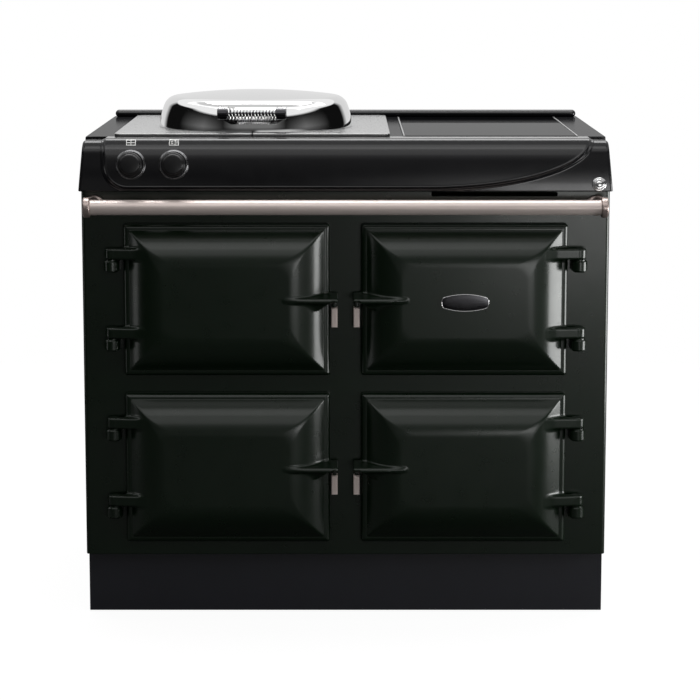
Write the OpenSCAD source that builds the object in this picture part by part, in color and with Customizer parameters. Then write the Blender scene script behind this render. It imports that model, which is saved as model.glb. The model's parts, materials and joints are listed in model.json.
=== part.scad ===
// Cast iron range cooker: four side-hung cast doors, one round lidded hotplate, an induction hob.
// Millimetres, +Z up, front towards -Y. The origin is the middle of the base of the whole cooker.

/* [Overall] */
// Width across the front plate
cooker_w = 989; // [940:1:1200]
// Depth from the face of the front plate to the back of the top plate
body_d = 637; // [620:1:780]
// Height of the hob surface above the floor
hob_h = 913; // [880:1:1000]
// Height of the plinth
plinth_h = 119; // [100:1:150]
// How far the plinth stands back from the front plate
plinth_inset = 30; // [10:1:60]
// Depth of the band of top casting that shows above the doors
fascia_h = 98; // [90:1:120]

/* [Front plate] */
// Thickness of the cast front plate
plate_t = 8; // [6:0.5:12]
// Radius of its upright corners
plate_corner_r = 8; // [4:0.5:16]
// Depth of its side returns
plate_return = 30; // [20:1:40]
// Width of the air slot under the top casting
slot_w = 235; // [120:1:300]
// Height of the air slot
slot_h = 7; // [6:0.5:12]
// Distance from the air slot to the right edge of the plate
slot_margin = 99; // [60:1:140]

/* [Doors] */
// Plate showing outside each door
door_margin = 79; // [70:1:100]
// Plate showing between the left and right doors
stile_w = 58.6; // [56:0.2:90]
// Plate showing under the lower doors
door_sill = 28; // [20:1:60]
// Plate showing between the lower and upper doors
row_gap = 33.6; // [26:0.2:60]
// Plate showing above the upper doors
door_head = 60.4; // [56:0.2:80]
// Gap behind a closed door
door_gap = 2; // [1.5:0.1:4]
// Thickness of the door's flat edge
door_edge_t = 13; // [10:0.5:18]
// Radius of the round bead along the edge
bead_r = 6; // [4:0.5:8]
// Width of the edge band, from the outline to the foot of the slopes
door_band = 11; // [9:0.5:16]
// Inset of the four shoulders of the raised middle
crown_inset = 78; // [60:1:90]
// Radius of the shoulders
crown_r = 48; // [40:1:60]
// How far the raised middle stands before the front plate
crown_out = 53; // [44:1:60]
// Thickness of the cast door skin
door_skin = 8; // [6:0.5:10]
// Ledge inside the door on which the inner panel is seated
door_ledge = 34; // [30:1:40]

/* [Handles] */
// Thickness of the cast handle fin
fin_t = 7; // [6:0.5:10]
// How far the fin starts inboard of the door's edge
fin_in = 75; // [60:1:90]
// How far the fin reaches past the door's edge
fin_past = 15; // [10:0.5:20]
// How far the front of the fin stands before the front plate
fin_out = 57; // [50:1:60]
// Greatest depth of the scooped web under the fin
scoop_h = 16.5; // [10:0.5:20]
// Width of a catch
catch_w = 12; // [9:0.5:13]
// Height of a catch
catch_h = 37; // [28:1:44]
// How far the catch stands before the front plate
catch_out = 20; // [14:1:26]
// Drop from the fin to the top of the catch
catch_drop = 14; // [10:0.5:20]

/* [Hinges] */
// Radius of the hinge pins
pin_r = 5; // [4:0.5:7]
// Radial clearance round the hinge pins
pin_clear = 0.05; // [0.01:0.01:0.1]
// Radius of the rounded end of a door lug
lug_r = 12.5; // [10:0.5:14]
// Thickness of a door lug
lug_t = 20; // [16:0.5:24]
// Distance from the door's edge out to the hinge axis
hinge_out = 21.5; // [20:0.5:30]
// Distance from the front plate forward to the hinge axis
hinge_fwd = 20; // [18:0.5:26]
// Height of the lower lug above the door's bottom edge
lug_low = 72.5; // [50:0.5:90]
// Distance from the top of the upper lug to the door's top edge
lug_high = 45.5; // [30:0.5:70]
// Height of a hinge bracket under its lug
bracket_h = 21; // [16:0.5:26]
// Radius of a hinge bracket's barrel
bracket_r = 14.5; // [11:0.5:16]

/* [Ovens] */
// How far the door laps over the oven mouth on each side
door_lap = 20; // [16:1:24]
// Wall of the cast oven liner
liner_t = 6; // [5:0.5:8]
// Space behind the oven for insulation and wiring
service_d = 143; // [110:1:200]
// Width of the flange behind the front plate
liner_flange = 22; // [14:1:26]
// Gap between the door's inner panel and the oven mouth
panel_gap = 4; // [3:0.5:6]
// How far the inner panel reaches into the oven
panel_in = 12; // [8:0.5:20]
// Depth of the shelf ledges
ledge_d = 8; // [6:0.5:12]
// Height of the shelf ledges
ledge_h = 6; // [4:0.5:8]
// Radius of the shelf's frame rod
rack_r = 3; // [2.5:0.1:4]
// Radius of the shelf's thin rods
rack_rod_r = 1.8; // [1.4:0.1:2.4]
// Number of thin rods in a shelf
rack_rods = 13; // [7:2:21]

/* [Towel rail] */
// Radius of the rail
rail_r = 14; // [11:0.5:18]
// Height of the rail's middle below the top casting
rail_drop = 27; // [24:1:32]
// Distance from the front plate forward to the rail's middle
rail_fwd = 44; // [38:1:56]
// Radius of the rail's end caps
rail_cap_r = 19; // [16:0.5:22]
// Distance from the end cap to the edge of the plate
rail_margin = 8.5; // [6:0.5:20]

/* [Top casting] */
// How far the fascia overhangs the front plate
fascia_out = 26; // [20:1:30]
// Lean of the fascia from upright, degrees
fascia_lean = 6.6; // [3:0.1:10]
// Radius of the rounded front edge
nose_r = 20; // [14:1:28]
// Wall of the casting
casting_t = 6; // [5:0.5:8]
// How far the middle field stands out from the ends
field_raise = 4; // [2:0.5:6]
// Width of the recessed end at the left and right of the field
field_end = 48; // [40:1:60]
// Depth from the front plate to the joint between fascia and top plate
joint_y = 47; // [40:1:60]
// Radius of the rear bar
bar_r = 8; // [6:0.5:12]

/* [Knobs] */
// Distance from the plate's left edge to the first knob
knob_margin = 95.5; // [80:0.5:120]
// Distance between the knobs
knob_pitch = 80; // [70:1:110]
// Height of the knobs above the bottom of the fascia
knob_rise = 50; // [44:1:56]
// Radius of a knob
knob_r = 23; // [18:0.5:28]
// Depth of a knob
knob_d = 22; // [16:1:28]
// Radius of the bezel behind a knob
bezel_r = 28.5; // [24:0.5:34]
// Radius of a knob's spindle
spindle_r = 3; // [2.5:0.1:4]
// Radial clearance of the spindle in its switch
spindle_clear = 0.05; // [0.01:0.01:0.1]

/* [Hotplate] */
// Distance from the plate's left edge to the hotplate surround
surround_margin = 58.5; // [50:0.5:80]
// Width of the surround
surround_w = 520; // [470:1:560]
// Thickness of the surround
surround_t = 5; // [3:0.5:8]
// Distance from the rear edge of the surround to the back of the top plate
surround_rear = 47; // [36:1:60]
// How far the lid laps past the hotplate
lid_lap = 17; // [15:1:24]
// Thickness of the hotplate
hotplate_t = 28; // [20:1:36]
// Gap that splits the hotplate and its surround
split_gap = 2; // [1:0.5:5]
// Distance from the front plate back to the middle of the hotplate
hotplate_y = 266; // [255:1:300]

/* [Lid] */
// Radius of the lid at its rim
lid_r = 189; // [180:1:200]
// Lean of the lid's side from upright, degrees
lid_lean = 12; // [6:1:15]
// Radius of the lid's shoulder
lid_shoulder_r = 27; // [20:1:32]
// Height of the shoulder's centre above the rim
lid_shoulder_z = 33; // [28:1:40]
// Height of the lid above its rim
lid_rise = 70; // [64:1:80]
// Thickness of the lid's metal
lid_t = 2.5; // [1.5:0.1:4]
// Distance from the rim back to the lid's hinge axis
lid_hinge_out = 23; // [18:1:30]
// Height of the lid's hinge axis above the surround
lid_hinge_z = 17; // [14:1:22]
// Radius of the lid's hinge pin
lid_pin_r = 4; // [3:0.5:6]

/* [Lid handle] */
// Distance between the two handle posts
post_span = 91; // [70:1:120]
// Width of a handle post
post_w = 19; // [12:1:24]
// Radius of the round end of a post
post_r = 10.5; // [9:0.5:12]
// Distance from the lid's rim forward to the middle of the handle
grip_out = 37; // [32:1:46]
// Height of the handle's middle above the rim
grip_z = 37; // [30:1:46]
// Radius of the rod in the middle of the handle
grip_rod_r = 4.5; // [3:0.5:6]
// Radius from the rod's axis to the middle of the coiled wire
coil_r = 10.2; // [9:0.1:14]
// Thickness of the coiled wire
coil_wire = 2.6; // [1.6:0.1:3.4]
// Full turns of the coil between its end ramps
coil_turns = 15; // [8:1:18]

/* [Hob glass] */
// Distance from the surround to the hob's left trim
glass_gap = 25; // [15:1:40]
// Distance from the hob's right trim to the plate's right edge
glass_margin = 56.5; // [40:0.5:70]
// Thickness of the glass
glass_t = 6; // [4:0.5:8]
// Width of the metal trim at the sides of the glass
trim_w = 3; // [2:0.5:5]
// Width of the ledge under the edge of the glass
glass_ledge = 10; // [8:1:14]

/* [Casing] */
// Thickness of the side sheets
sheet_t = 1.5; // [1:0.1:3]
// Distance from the plate's edge in to the side sheet
side_inset = 2; // [1:0.5:6]
// Distance from the back of the top plate to the back panel
back_inset = 6; // [4:0.5:12]
// Leg of the frame's corner posts
post_leg = 30; // [24:1:40]
// Radius of the cable entry
cable_r = 8; // [6:0.5:12]

/* [Hidden] */
$fn = 72;

// Places across the cooker
seat = 0.3;                                   // gap where one piece rests on another
half_w = cooker_w / 2;
fascia_z = hob_h - fascia_h;                  // bottom of the fascia, top of the front plate
rail_front = rail_fwd + rail_cap_r;           // furthest reach before the front plate
front_y = (rail_front - body_d) / 2;          // face of the front plate, seen from the origin
LEFT = -1;
RIGHT = 1;
LOW = 0;
HIGH = 1;

// Doors and ovens
door_w = half_w - stile_w / 2 - door_margin;
door_h = (fascia_z - plinth_h - door_sill - row_gap - door_head) / 2;
door_x = stile_w / 2 + door_w / 2;            // middle of a door, either side
door_z = [plinth_h + door_sill + door_h / 2, plinth_h + door_sill + door_h * 1.5 + row_gap];
edge_y = door_gap + door_edge_t;              // centre line of the edge bead
hip_steps = 7;
hip_power = 1.7;                              // how early the slopes flatten towards the crown
hip_corner_power = 3;                         // how late the hips turn from sharp to round
hinge_x = door_w / 2 + hinge_out;             // hinge axis, from the middle of its door
lug_z = [lug_low - door_h / 2, door_h / 2 - lug_high - lug_t];
hinge_lift = 0.5;                             // air between a lug and its bracket
bracket_round = 3;
collar_t = 2.5;                               // washer-like collar on top of a bracket
mouth_w = door_w - 2 * door_lap;
mouth_h = door_h - 2 * door_lap;
mouth_r = 20;
oven_back = body_d - service_d;               // inside face of the oven's back wall
seal_w = 6;
seal_out = door_gap - seat;                   // how far the seal stands before the plate
seal_in = 4;
seal_margin = 6;                              // plate between mouth and seal
fin_rear = 10;                                // back edge of the fin beyond the door
fin_nose_r = fin_t / 2;
scoop_mid = fin_in / 2;                       // deepest place of the web, inboard of the door's edge
scoop_arc_r = (pow(fin_in - scoop_mid, 2) + pow(scoop_h, 2)) / (2 * scoop_h);
scoop_round = 1.5 * scoop_h;                  // radius of the hollow for the fingers
lug_lean = 7;                                 // how much further out a lug is where it meets the slope
lug_reach = 42;                               // how far a lug reaches over the door
badge_w = 89;
badge_h = 33;
badge_t = 3;
badge_rim = 2;
badge_sink = 0.8;                             // depth of the field inside the rim
catch_z = -catch_drop - catch_h;
catch_x = stile_w / 2 - fin_past / 2 - 1;     // middle of a catch, either side
nose_w = 8;                                   // latch nose under the fin
liner_z = mouth_h / 2 + liner_t;
flange_t = 6;
ledge_front = 40;
ledge_levels = [-30, 45];
rack_front = plate_t + panel_in + 12;         // front edge of a shelf, from the plate's face
rack_gap = 2;
rack_depth = oven_back - 20 - rack_front;
rack_w = mouth_w - 2 * rack_gap;
rack_z = ledge_levels[0] + ledge_h / 2 + seat + rack_r;
element_r = 3.2;
element_half = 90;                            // half the width of a heating loop
element_front = 90;
element_back = oven_back + 40;
element_z = -liner_z - seat - element_r;

// Top casting
hob_bottom_half = half_w + 3.5;
hob_top_half = half_w - 5.5;
lip_t = 6;
nose_rise = hob_h - nose_r + nose_r * sin(fascia_lean) - fascia_z;
nose_y = -fascia_out + nose_rise * tan(fascia_lean) + nose_r * cos(fascia_lean);
field_z = 9;                                  // band left under the raised field
field_corner_r = 41;
field_sweep_x = 212 / 494.5 * half_w;         // where the field's lower line starts to sweep up
field_right = half_w - field_end;
field_top = hob_h - fascia_z - field_z;
field_run = field_right - field_sweep_x;
field_end_rise = field_top - nose_r;          // height gained by the sweep at its right end
field_sweep_r = (field_run * field_run + field_end_rise * field_end_rise) / (2 * field_end_rise);
plate_top_t = 8;

// Hotplate, lid and hob
surround_x0 = -half_w + surround_margin;
surround_x1 = surround_x0 + surround_w;
surround_y0 = joint_y + 5;
surround_y1 = body_d - surround_rear;
surround_corner = 12;
surround_top = hob_h + surround_t;
hotplate_x = (surround_x0 + surround_x1) / 2;
hotplate_top = surround_top;
hotplate_r = lid_r - lid_lap;
hotplate_ring = 2.5;                          // gap between the hotplate and its surround
heater_top = hotplate_top - hotplate_t;
bar_y = body_d - 25;
bar_flat = 1;
glass_x0 = surround_x1 + glass_gap;
glass_x1 = half_w - glass_margin;
glass_fit = 0.3;
glass_top = hob_h + 1;
glass_seat = glass_top - glass_t;
lid_z = surround_top + 0.5;                   // rim of the closed lid
lid_hinge_y = hotplate_y + lid_r + lid_hinge_out;
lid_knuckle_r = 9;
lid_knuckle_w = 48;
lid_ear_w = 12;
lid_side_z = lid_shoulder_z + lid_shoulder_r * sin(lid_lean);
lid_shoulder_x = lid_r - lid_side_z * tan(lid_lean) - lid_shoulder_r * cos(lid_lean);
lid_drop = lid_rise - lid_shoulder_z;
lid_dome_r = (pow(lid_shoulder_x, 2) + pow(lid_drop, 2) - pow(lid_shoulder_r, 2))
    / (2 * (lid_drop - lid_shoulder_r));
lid_dome_z = lid_rise - lid_dome_r;
grip_y = hotplate_y - lid_r - grip_out;

// Knobs
knob_x = [-half_w + knob_margin, -half_w + knob_margin + knob_pitch];
knob_z = fascia_z + knob_rise;
face_y = -fascia_out + knob_rise * tan(fascia_lean);   // fascia surface at the knobs' height
bezel_t = 4;
bush_r = 7;
bush_hole_r = 7.3;
switch_size = 36;

// Casing
side_x = half_w - side_inset;                 // outer face of the side sheets
back_y = body_d - back_inset;                 // outer face of the back panel
deck_t = 7;
deck_z = plinth_h - deck_t;
insulation_half = half_w - 40;
insulation_top = hob_h - 113;
foot_x = half_w - 75;
foot_y = [75, body_d - 75];
cable_x = half_w - 110;
cable_z = plinth_h + 45;
button_r = 13;
button_x = half_w - 23;
button_z = fascia_z + 14;

// ---------------------------------------------------------------- helpers

// Measures in the modules run from the face of the front plate
module in_frame() translate([0, front_y, 0]) children();

// Rectangle with round corners, about its middle
module round_rect(w, h, r) {
    square([w - 2 * r, h], center = true);
    square([w, h - 2 * r], center = true);
    for (x = [-1, 1], y = [-1, 1])
        translate([x * (w / 2 - r), y * (h / 2 - r)]) circle(r = r);
}

// Upright slab from y0 back to y1, with its outline in XZ
module slab(w, h, r, y0, y1) {
    translate([0, y1, 0]) rotate([90, 0, 0]) linear_extrude(y1 - y0) round_rect(w, h, r);
}

// Box between two corners
module span_box(low, high) translate(low) cube(high - low);

// Cylinder along X about its middle, and along Y from y0 back to y1
module rod_x(r, length) rotate([0, 90, 0]) cylinder(r = r, h = length, center = true);
module rod_y(r, y0, y1) translate([0, y1, 0]) rotate([90, 0, 0]) cylinder(r = r, h = y1 - y0);

// Outline drawn in YZ, carried along X about the middle
module along_x(length) rotate([90, 0, 90]) translate([0, 0, -length / 2]) linear_extrude(length) children();

// Middle of one door. The pieces are drawn for a left door, and the right ones are its mirror image.
module at_door(side, row) {
    translate([0, 0, door_z[row]])
        if (side == LEFT) translate([-door_x, 0, 0]) children();
        else mirror([1, 0, 0]) translate([-door_x, 0, 0]) children();
}

// One knob's axis, square to the leaning fascia, with its front towards -Y
module at_knob(i) {
    translate([knob_x[i], face_y, knob_z]) rotate([-fascia_lean, 0, 0]) children();
}

module at_lid() translate([hotplate_x, hotplate_y, lid_z]) children();

// ---------------------------------------------------------------- casing

// Welded base with a deck, an edge skirt, four foot bosses and four angle-iron corner posts
module base_frame() color("dimgray") in_frame() {
    outer = side_x - sheet_t;
    frame_y0 = plate_return;
    frame_y1 = back_y - sheet_t;
    wall = 3;
    skirt_h = 55;
    difference() {
        span_box([-outer, frame_y0 + wall, deck_z - skirt_h], [outer, frame_y1, plinth_h]);
        span_box([-outer + wall, frame_y0 + 2 * wall, deck_z - skirt_h - 1], [outer - wall, frame_y1 - wall, deck_z]);
    }
    for (x = [-foot_x, foot_x], y = foot_y)
        translate([x, y, deck_z - 30]) difference() {
            cylinder(r = 15, h = 31);
            translate([0, 0, -1]) cylinder(r = 6.2, h = 26);
        }
    for (x = [-1, 1], y = [0, 1])
        translate([x * outer, y == 0 ? frame_y0 : frame_y1, 0]) mirror([x > 0 ? 1 : 0, 0, 0]) mirror([0, y, 0]) {
            span_box([0, 0, plinth_h], [wall, post_leg, fascia_z - 3]);
            span_box([0, 0, plinth_h + wall], [post_leg, wall, fascia_z - 3]);
        }
}

// Four screw feet, each a pad on a stem
module levelling_feet() color("darkgray") in_frame() {
    for (x = [-foot_x, foot_x], y = foot_y) translate([x, y, 0]) {
        cylinder(r = 24, h = 8);
        translate([0, 0, 7.5]) cylinder(r1 = 20, r2 = 10, h = 6);
        cylinder(r = 6, h = deck_z - 30 + 25 - seat);
        translate([0, 0, 24]) cylinder(r = 10.5, h = 8, $fn = 6);
    }
}

// Folded plinth: a front panel with two long side returns
module plinth_panel() color("#17171b") in_frame() {
    difference() {
        span_box([-side_x, plinth_inset, 1], [side_x, back_y - 20, plinth_h - seat]);
        span_box([-side_x + sheet_t, plinth_inset + sheet_t, 0],
            [side_x - sheet_t, back_y, plinth_h]);
    }
}

// Left and right casing sheets with a folded top edge
module side_panels() color("#202020") in_frame() {
    for (side = [0, 1]) mirror([side, 0, 0]) {
        span_box([side_x - sheet_t, plate_return + seat, plinth_h], [side_x, back_y, fascia_z - seat]);
        span_box([side_x - 14, plate_return + seat, fascia_z - seat - sheet_t],
            [side_x - sheet_t + 0.1, back_y - 2 * sheet_t, fascia_z - seat]);
    }
}

// Back sheet with two rows of air slots and the cable hole
module back_panel() color("silver") in_frame() {
    slots = 12;
    slot_pitch = (cooker_w - 240) / slots;
    difference() {
        span_box([-side_x + sheet_t, back_y - sheet_t, plinth_h - deck_t], [side_x - sheet_t, back_y, fascia_z - seat]);
        for (i = [0 : slots - 1], z = [fascia_z - 60, plinth_h + 100])
            translate([(i - (slots - 1) / 2) * slot_pitch, back_y - sheet_t / 2, z])
                cube([40, 3 * sheet_t, 5], center = true);
        translate([cable_x, 0, cable_z]) rod_y(cable_r + 4, back_y - 5, back_y + 5);
    }
}

// Entry for the supply cable, with its flange outside and its nut inside the back panel
module cable_gland() color("#2b2b2b") in_frame() translate([cable_x, 0, cable_z]) difference() {
    union() {
        rod_y(cable_r + 3.8, back_y - 24, back_y + 1);
        rod_y(cable_r + 7, back_y, back_y + 5);
        translate([0, back_y - sheet_t - 6, 0]) rotate([-90, 0, 0]) cylinder(r = cable_r + 9, h = 6, $fn = 6);
    }
    rod_y(cable_r, back_y - 30, back_y + 10);
}

// ---------------------------------------------------------------- front plate

// Plan of the front plate: a flat front with round corners and two side returns
module plate_plan() {
    difference() {
        translate([0, plate_return]) intersection() {
            round_rect(cooker_w, 2 * plate_return, plate_corner_r);
            translate([-half_w, -plate_return]) square([cooker_w, plate_return]);
        }
        translate([-half_w + plate_t, plate_t]) square([cooker_w - 2 * plate_t, plate_return]);
    }
}

module front_plate() color("#1c1f1b") in_frame() {
    groove_w = mouth_w + 2 * (seal_margin + seal_w);
    groove_h = mouth_h + 2 * (seal_margin + seal_w);
    difference() {
        translate([0, 0, plinth_h]) linear_extrude(fascia_z - plinth_h) plate_plan();
        for (side = [LEFT, RIGHT], row = [LOW, HIGH]) at_door(side, row) {
            slab(mouth_w, mouth_h, mouth_r, -1, plate_t + 1);
            difference() {
                slab(groove_w, groove_h, mouth_r, -1, seal_in);
                slab(groove_w - 2 * seal_w, groove_h - 2 * seal_w, mouth_r - seal_w, -2, seal_in + 1);
            }
        }
        translate([half_w - slot_margin - slot_w / 2, 0, fascia_z - 3 - slot_h / 2])
            slab(slot_w, slot_h, 3, -1, plate_t + 1);
    }
}

// Rope seals pressed into the grooves round the four oven mouths
module oven_seals() color("#3a3a38") in_frame() {
    seal_fit = 0.2;
    outer_w = mouth_w + 2 * (seal_margin + seal_w) - 2 * seal_fit;
    outer_h = mouth_h + 2 * (seal_margin + seal_w) - 2 * seal_fit;
    rope = seal_w - 2 * seal_fit;
    for (side = [LEFT, RIGHT], row = [LOW, HIGH]) at_door(side, row) difference() {
        slab(outer_w, outer_h, mouth_r - seal_fit, -seal_out, seal_in);
        slab(outer_w - 2 * rope, outer_h - 2 * rope, mouth_r - seal_w, -seal_out - 1, seal_in + 1);
    }
}

// Brackets under the door lugs, each with an upright pin on a stepped barrel
module hinge_brackets() color("#1c1f1b") in_frame() {
    for (side = [LEFT, RIGHT], row = [LOW, HIGH]) at_door(side, row)
        for (z = lug_z) translate([-hinge_x, -hinge_fwd, z - hinge_lift - bracket_h]) {
            cylinder(r = bracket_r, h = bracket_h - collar_t - 2);
            translate([0, 0, bracket_h - collar_t - 2.1]) cylinder(r1 = bracket_r, r2 = bracket_r - 2, h = 2.1);
            cylinder(r = bracket_r - 3, h = bracket_h);
            span_box([-bracket_r, 0, 0], [bracket_r, hinge_fwd, bracket_h - collar_t - 2]);
            translate([0, 0, -bracket_round]) cylinder(r1 = bracket_r - 4, r2 = bracket_r - 1, h = bracket_round + 0.5);
            cylinder(r = pin_r, h = bracket_h + hinge_lift + lug_t - 2);
        }
}

// Catches on the centre stile: a block with round upright edges, a ramp on top and a grooved face
module door_catches() color("lightgray") in_frame() {
    round_r = 2;
    ramp = 3;
    groove = 1.2;
    for (side = [LEFT, RIGHT], row = [LOW, HIGH])
        translate([side * catch_x, 0, door_z[row] + catch_z]) difference() {
            linear_extrude(catch_h) {
                translate([0, -catch_out / 2]) round_rect(catch_w, catch_out, round_r);
                translate([-catch_w / 2, -catch_out / 2]) square([catch_w, catch_out / 2]);
            }
            translate([0, -catch_out, catch_h]) rotate([45, 0, 0]) cube([catch_w + 2, ramp, ramp], center = true);
            translate([0, -catch_out, catch_h / 2 - 1]) cube([groove, 2 * groove, catch_h - 12], center = true);
            translate([0, -catch_out, catch_h - 5]) cube([catch_w - 3, 2 * groove, groove], center = true);
        }
}

// ---------------------------------------------------------------- doors

// Outer form of a door: a flat edge, a round bead along it, and a hipped middle with soft shoulders
module door_form() {
    slab(door_w, door_h, bead_r, -edge_y, -door_gap);
    for (z = [-1, 1]) translate([0, -edge_y, z * (door_h / 2 - bead_r)]) rod_x(bead_r, door_w - 2 * bead_r);
    for (x = [-1, 1]) translate([x * (door_w / 2 - bead_r), -edge_y, 0])
        cylinder(r = bead_r, h = door_h - 2 * bead_r, center = true);
    for (x = [-1, 1], z = [-1, 1])
        translate([x * (door_w / 2 - bead_r), -edge_y, z * (door_h / 2 - bead_r)]) sphere(r = bead_r);
    hipped_form(door_band, 3, edge_y + 2, crown_r, crown_out);
}

// Hipped middle: outlines that shrink, with rounder corners, as they come forward to the crown
module hipped_form(inset, corner, foot, r, out) {
    hull() for (i = [0 : hip_steps]) {
        t = i / hip_steps;
        side = inset + (crown_inset - inset) * t;
        depth = foot + (out - foot) * (1 - pow(1 - t, hip_power));
        slab(door_w - 2 * side, door_h - 2 * side, corner + (r - corner) * pow(t, hip_corner_power),
            -depth, -foot + 3, $fn = 32);
    }
}

// Plan of the handle fin: it leaves the raised middle at a flat angle and ends round past the door's edge
module fin_plan() {
    x0 = door_w / 2 - fin_in;
    x1 = door_w / 2 + fin_past - fin_nose_r;
    y_front = -fin_out + fin_nose_r;
    polygon([[x0 - 12, -crown_out + 4], [x0, -crown_out + 0.6], [x0 + 14, -fin_out + 1], [x0 + 30, -fin_out], [x1, -fin_out],
        [x1, y_front], [x1 + fin_nose_r, y_front], [x1 + fin_nose_r, -fin_rear - fin_nose_r], [x1, -fin_rear],
        [door_w / 2 - 20, -fin_rear]]);
    translate([x1, y_front]) circle(r = fin_nose_r);
}

// Handle fin: a flat top over a web that is scooped out for the fingers, with a latch nose past the edge
module door_fin() {
    linear_extrude(fin_t) fin_plan();
    intersection() {
        translate([0, 0, -scoop_h]) linear_extrude(scoop_h + 1) fin_plan();
        translate([door_w / 2 - scoop_mid, 0, scoop_arc_r - scoop_h]) rod_y(scoop_arc_r, -fin_out, 0, $fn = 180);
        difference() {
            span_box([0, -fin_out + 1, -scoop_h], [door_w / 2, 0, 1]);
            translate([door_w / 2, -fin_out - 3, -scoop_round]) rod_x(scoop_round, door_w);
        }
    }
    translate([door_x - catch_x - nose_w / 2, -catch_out, seat - catch_drop])
        cube([nose_w, catch_out - fin_rear, catch_drop]);
}

// Hinge lugs: arms that run from the slope out to the pin
module door_lugs() {
    for (z = lug_z) translate([-hinge_x, -hinge_fwd, z]) {
        cylinder(r = lug_r, h = lug_t);
        linear_extrude(lug_t)
            polygon([[0, -lug_r], [hinge_out + lug_reach, -lug_r - lug_lean], [hinge_out + 20, 0], [hinge_out + 6, 4],
                [0, lug_r]]);
    }
}

// Cast door: hollow behind, with lugs and fin in one piece
module door_casting(side, row) color("#1c1f1b") in_frame() at_door(side, row) difference() {
    union() {
        door_form();
        door_fin();
        door_lugs();
    }
    hipped_form(door_ledge, 8, edge_y - 1, crown_r - door_skin, crown_out - door_skin);
    slab(door_w - 2 * door_ledge, door_h - 2 * door_ledge, 8, -edge_y, 0);
    for (z = lug_z) translate([-hinge_x, -hinge_fwd, z - 1]) cylinder(r = pin_r + pin_clear, h = lug_t + 2);
}

// Pressed inner panel that plugs the oven mouth, open towards the casting
module door_panel(side, row) color("gray") in_frame() at_door(side, row) difference() {
    panel_w = mouth_w - 2 * panel_gap;
    panel_h = mouth_h - 2 * panel_gap;
    rim = 16;
    panel_r = mouth_r - panel_gap;
    slab(panel_w, panel_h, panel_r, -door_gap, panel_in);
    slab(panel_w - 2 * rim, panel_h - 2 * rim, panel_r, -door_gap - 1, panel_in - 1.5);
    difference() {
        slab(panel_w - 2 * rim, panel_h - 2 * rim, panel_r, panel_in - 0.6, panel_in + 1);
        slab(panel_w - 2 * rim - 8, panel_h - 2 * rim - 8, panel_r - 4, panel_in - 2, panel_in + 2);
    }
}

// Pad of insulation in the hollow of the door
module door_insulation(side, row) color("khaki") in_frame() at_door(side, row) {
    pad = door_ledge + 1;
    slab(door_w - 2 * pad, door_h - 2 * pad, 8, -edge_y + seat, -door_gap);
}

// Outline of the badge, set in by s: shallow arcs above and below, tighter ones at the ends
module badge_outline(s) {
    arc_r = 138;
    end_r = 16;
    intersection() {
        translate([0, arc_r - badge_h / 2]) circle(r = arc_r - s, $fn = 360);
        translate([0, badge_h / 2 - arc_r]) circle(r = arc_r - s, $fn = 360);
        union() {
            square([badge_w - 2 * end_r, badge_h], center = true);
            for (x = [-1, 1]) translate([x * (badge_w / 2 - end_r), 0]) circle(r = end_r - s);
        }
    }
}

// Bare plate with a raised rim on the middle of the upper right door
module door_badge() color("silver") in_frame()
    translate([door_x, -crown_out, door_z[HIGH]]) rotate([90, 0, 0]) difference() {
        linear_extrude(badge_t) badge_outline(0);
        translate([0, 0, badge_t - badge_sink]) linear_extrude(badge_t) badge_outline(badge_rim);
    }

// ---------------------------------------------------------------- ovens

// Cast oven box with a flange behind the front plate and two pairs of shelf ledges
module oven_liner(side, row) color("#4a4a4a") in_frame() at_door(side, row) {
    difference() {
        union() {
            slab(mouth_w + 2 * liner_t, mouth_h + 2 * liner_t, mouth_r + liner_t, plate_t, oven_back + liner_t);
            slab(mouth_w + 2 * liner_flange, mouth_h + 2 * liner_flange, mouth_r, plate_t, plate_t + flange_t);
        }
        slab(mouth_w, mouth_h, mouth_r, plate_t - 1, oven_back);
    }
    for (x = [0, 1]) mirror([x, 0, 0])
        for (z = ledge_levels)
            span_box([mouth_w / 2 - ledge_d, ledge_front, z - ledge_h / 2], [mouth_w / 2 + 1, oven_back - 10, z + ledge_h / 2]);
}

// Grid shelf: a rod frame, thin rods front to back and a raised rear rod
module rack(side, row) color("lightgray") in_frame() at_door(side, row)
    translate([0, rack_front + rack_r, rack_z]) {
        run = rack_depth - 2 * rack_r;
        half = rack_w / 2 - rack_r;
        for (y = [0, run]) translate([0, y, 0]) rod_x(rack_r, 2 * half);
        for (x = [-half, half]) translate([x, 0, 0]) rod_y(rack_r, 0, run);
        for (x = [-half, half], y = [0, run]) translate([x, y, 0]) sphere(r = rack_r);
        for (i = [1 : rack_rods])
            translate([half * (2 * i / (rack_rods + 1) - 1), 0, 0]) rod_y(rack_rod_r, 0, run);
    }

// Loop of sheathed heating rod under each oven, with its ends out at the back
module oven_elements() color("#6b5a50") in_frame() {
    bend = element_half;
    for (side = [LEFT, RIGHT], row = [LOW, HIGH]) at_door(side, row) translate([0, 0, element_z]) {
        for (x = [-bend, bend]) translate([x, 0, 0]) rod_y(element_r, element_front + bend, element_back);
        translate([0, element_front + bend, 0]) rotate([0, 0, 180])
            rotate_extrude(angle = 180) translate([bend, 0]) circle(r = element_r);
    }
}

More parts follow.
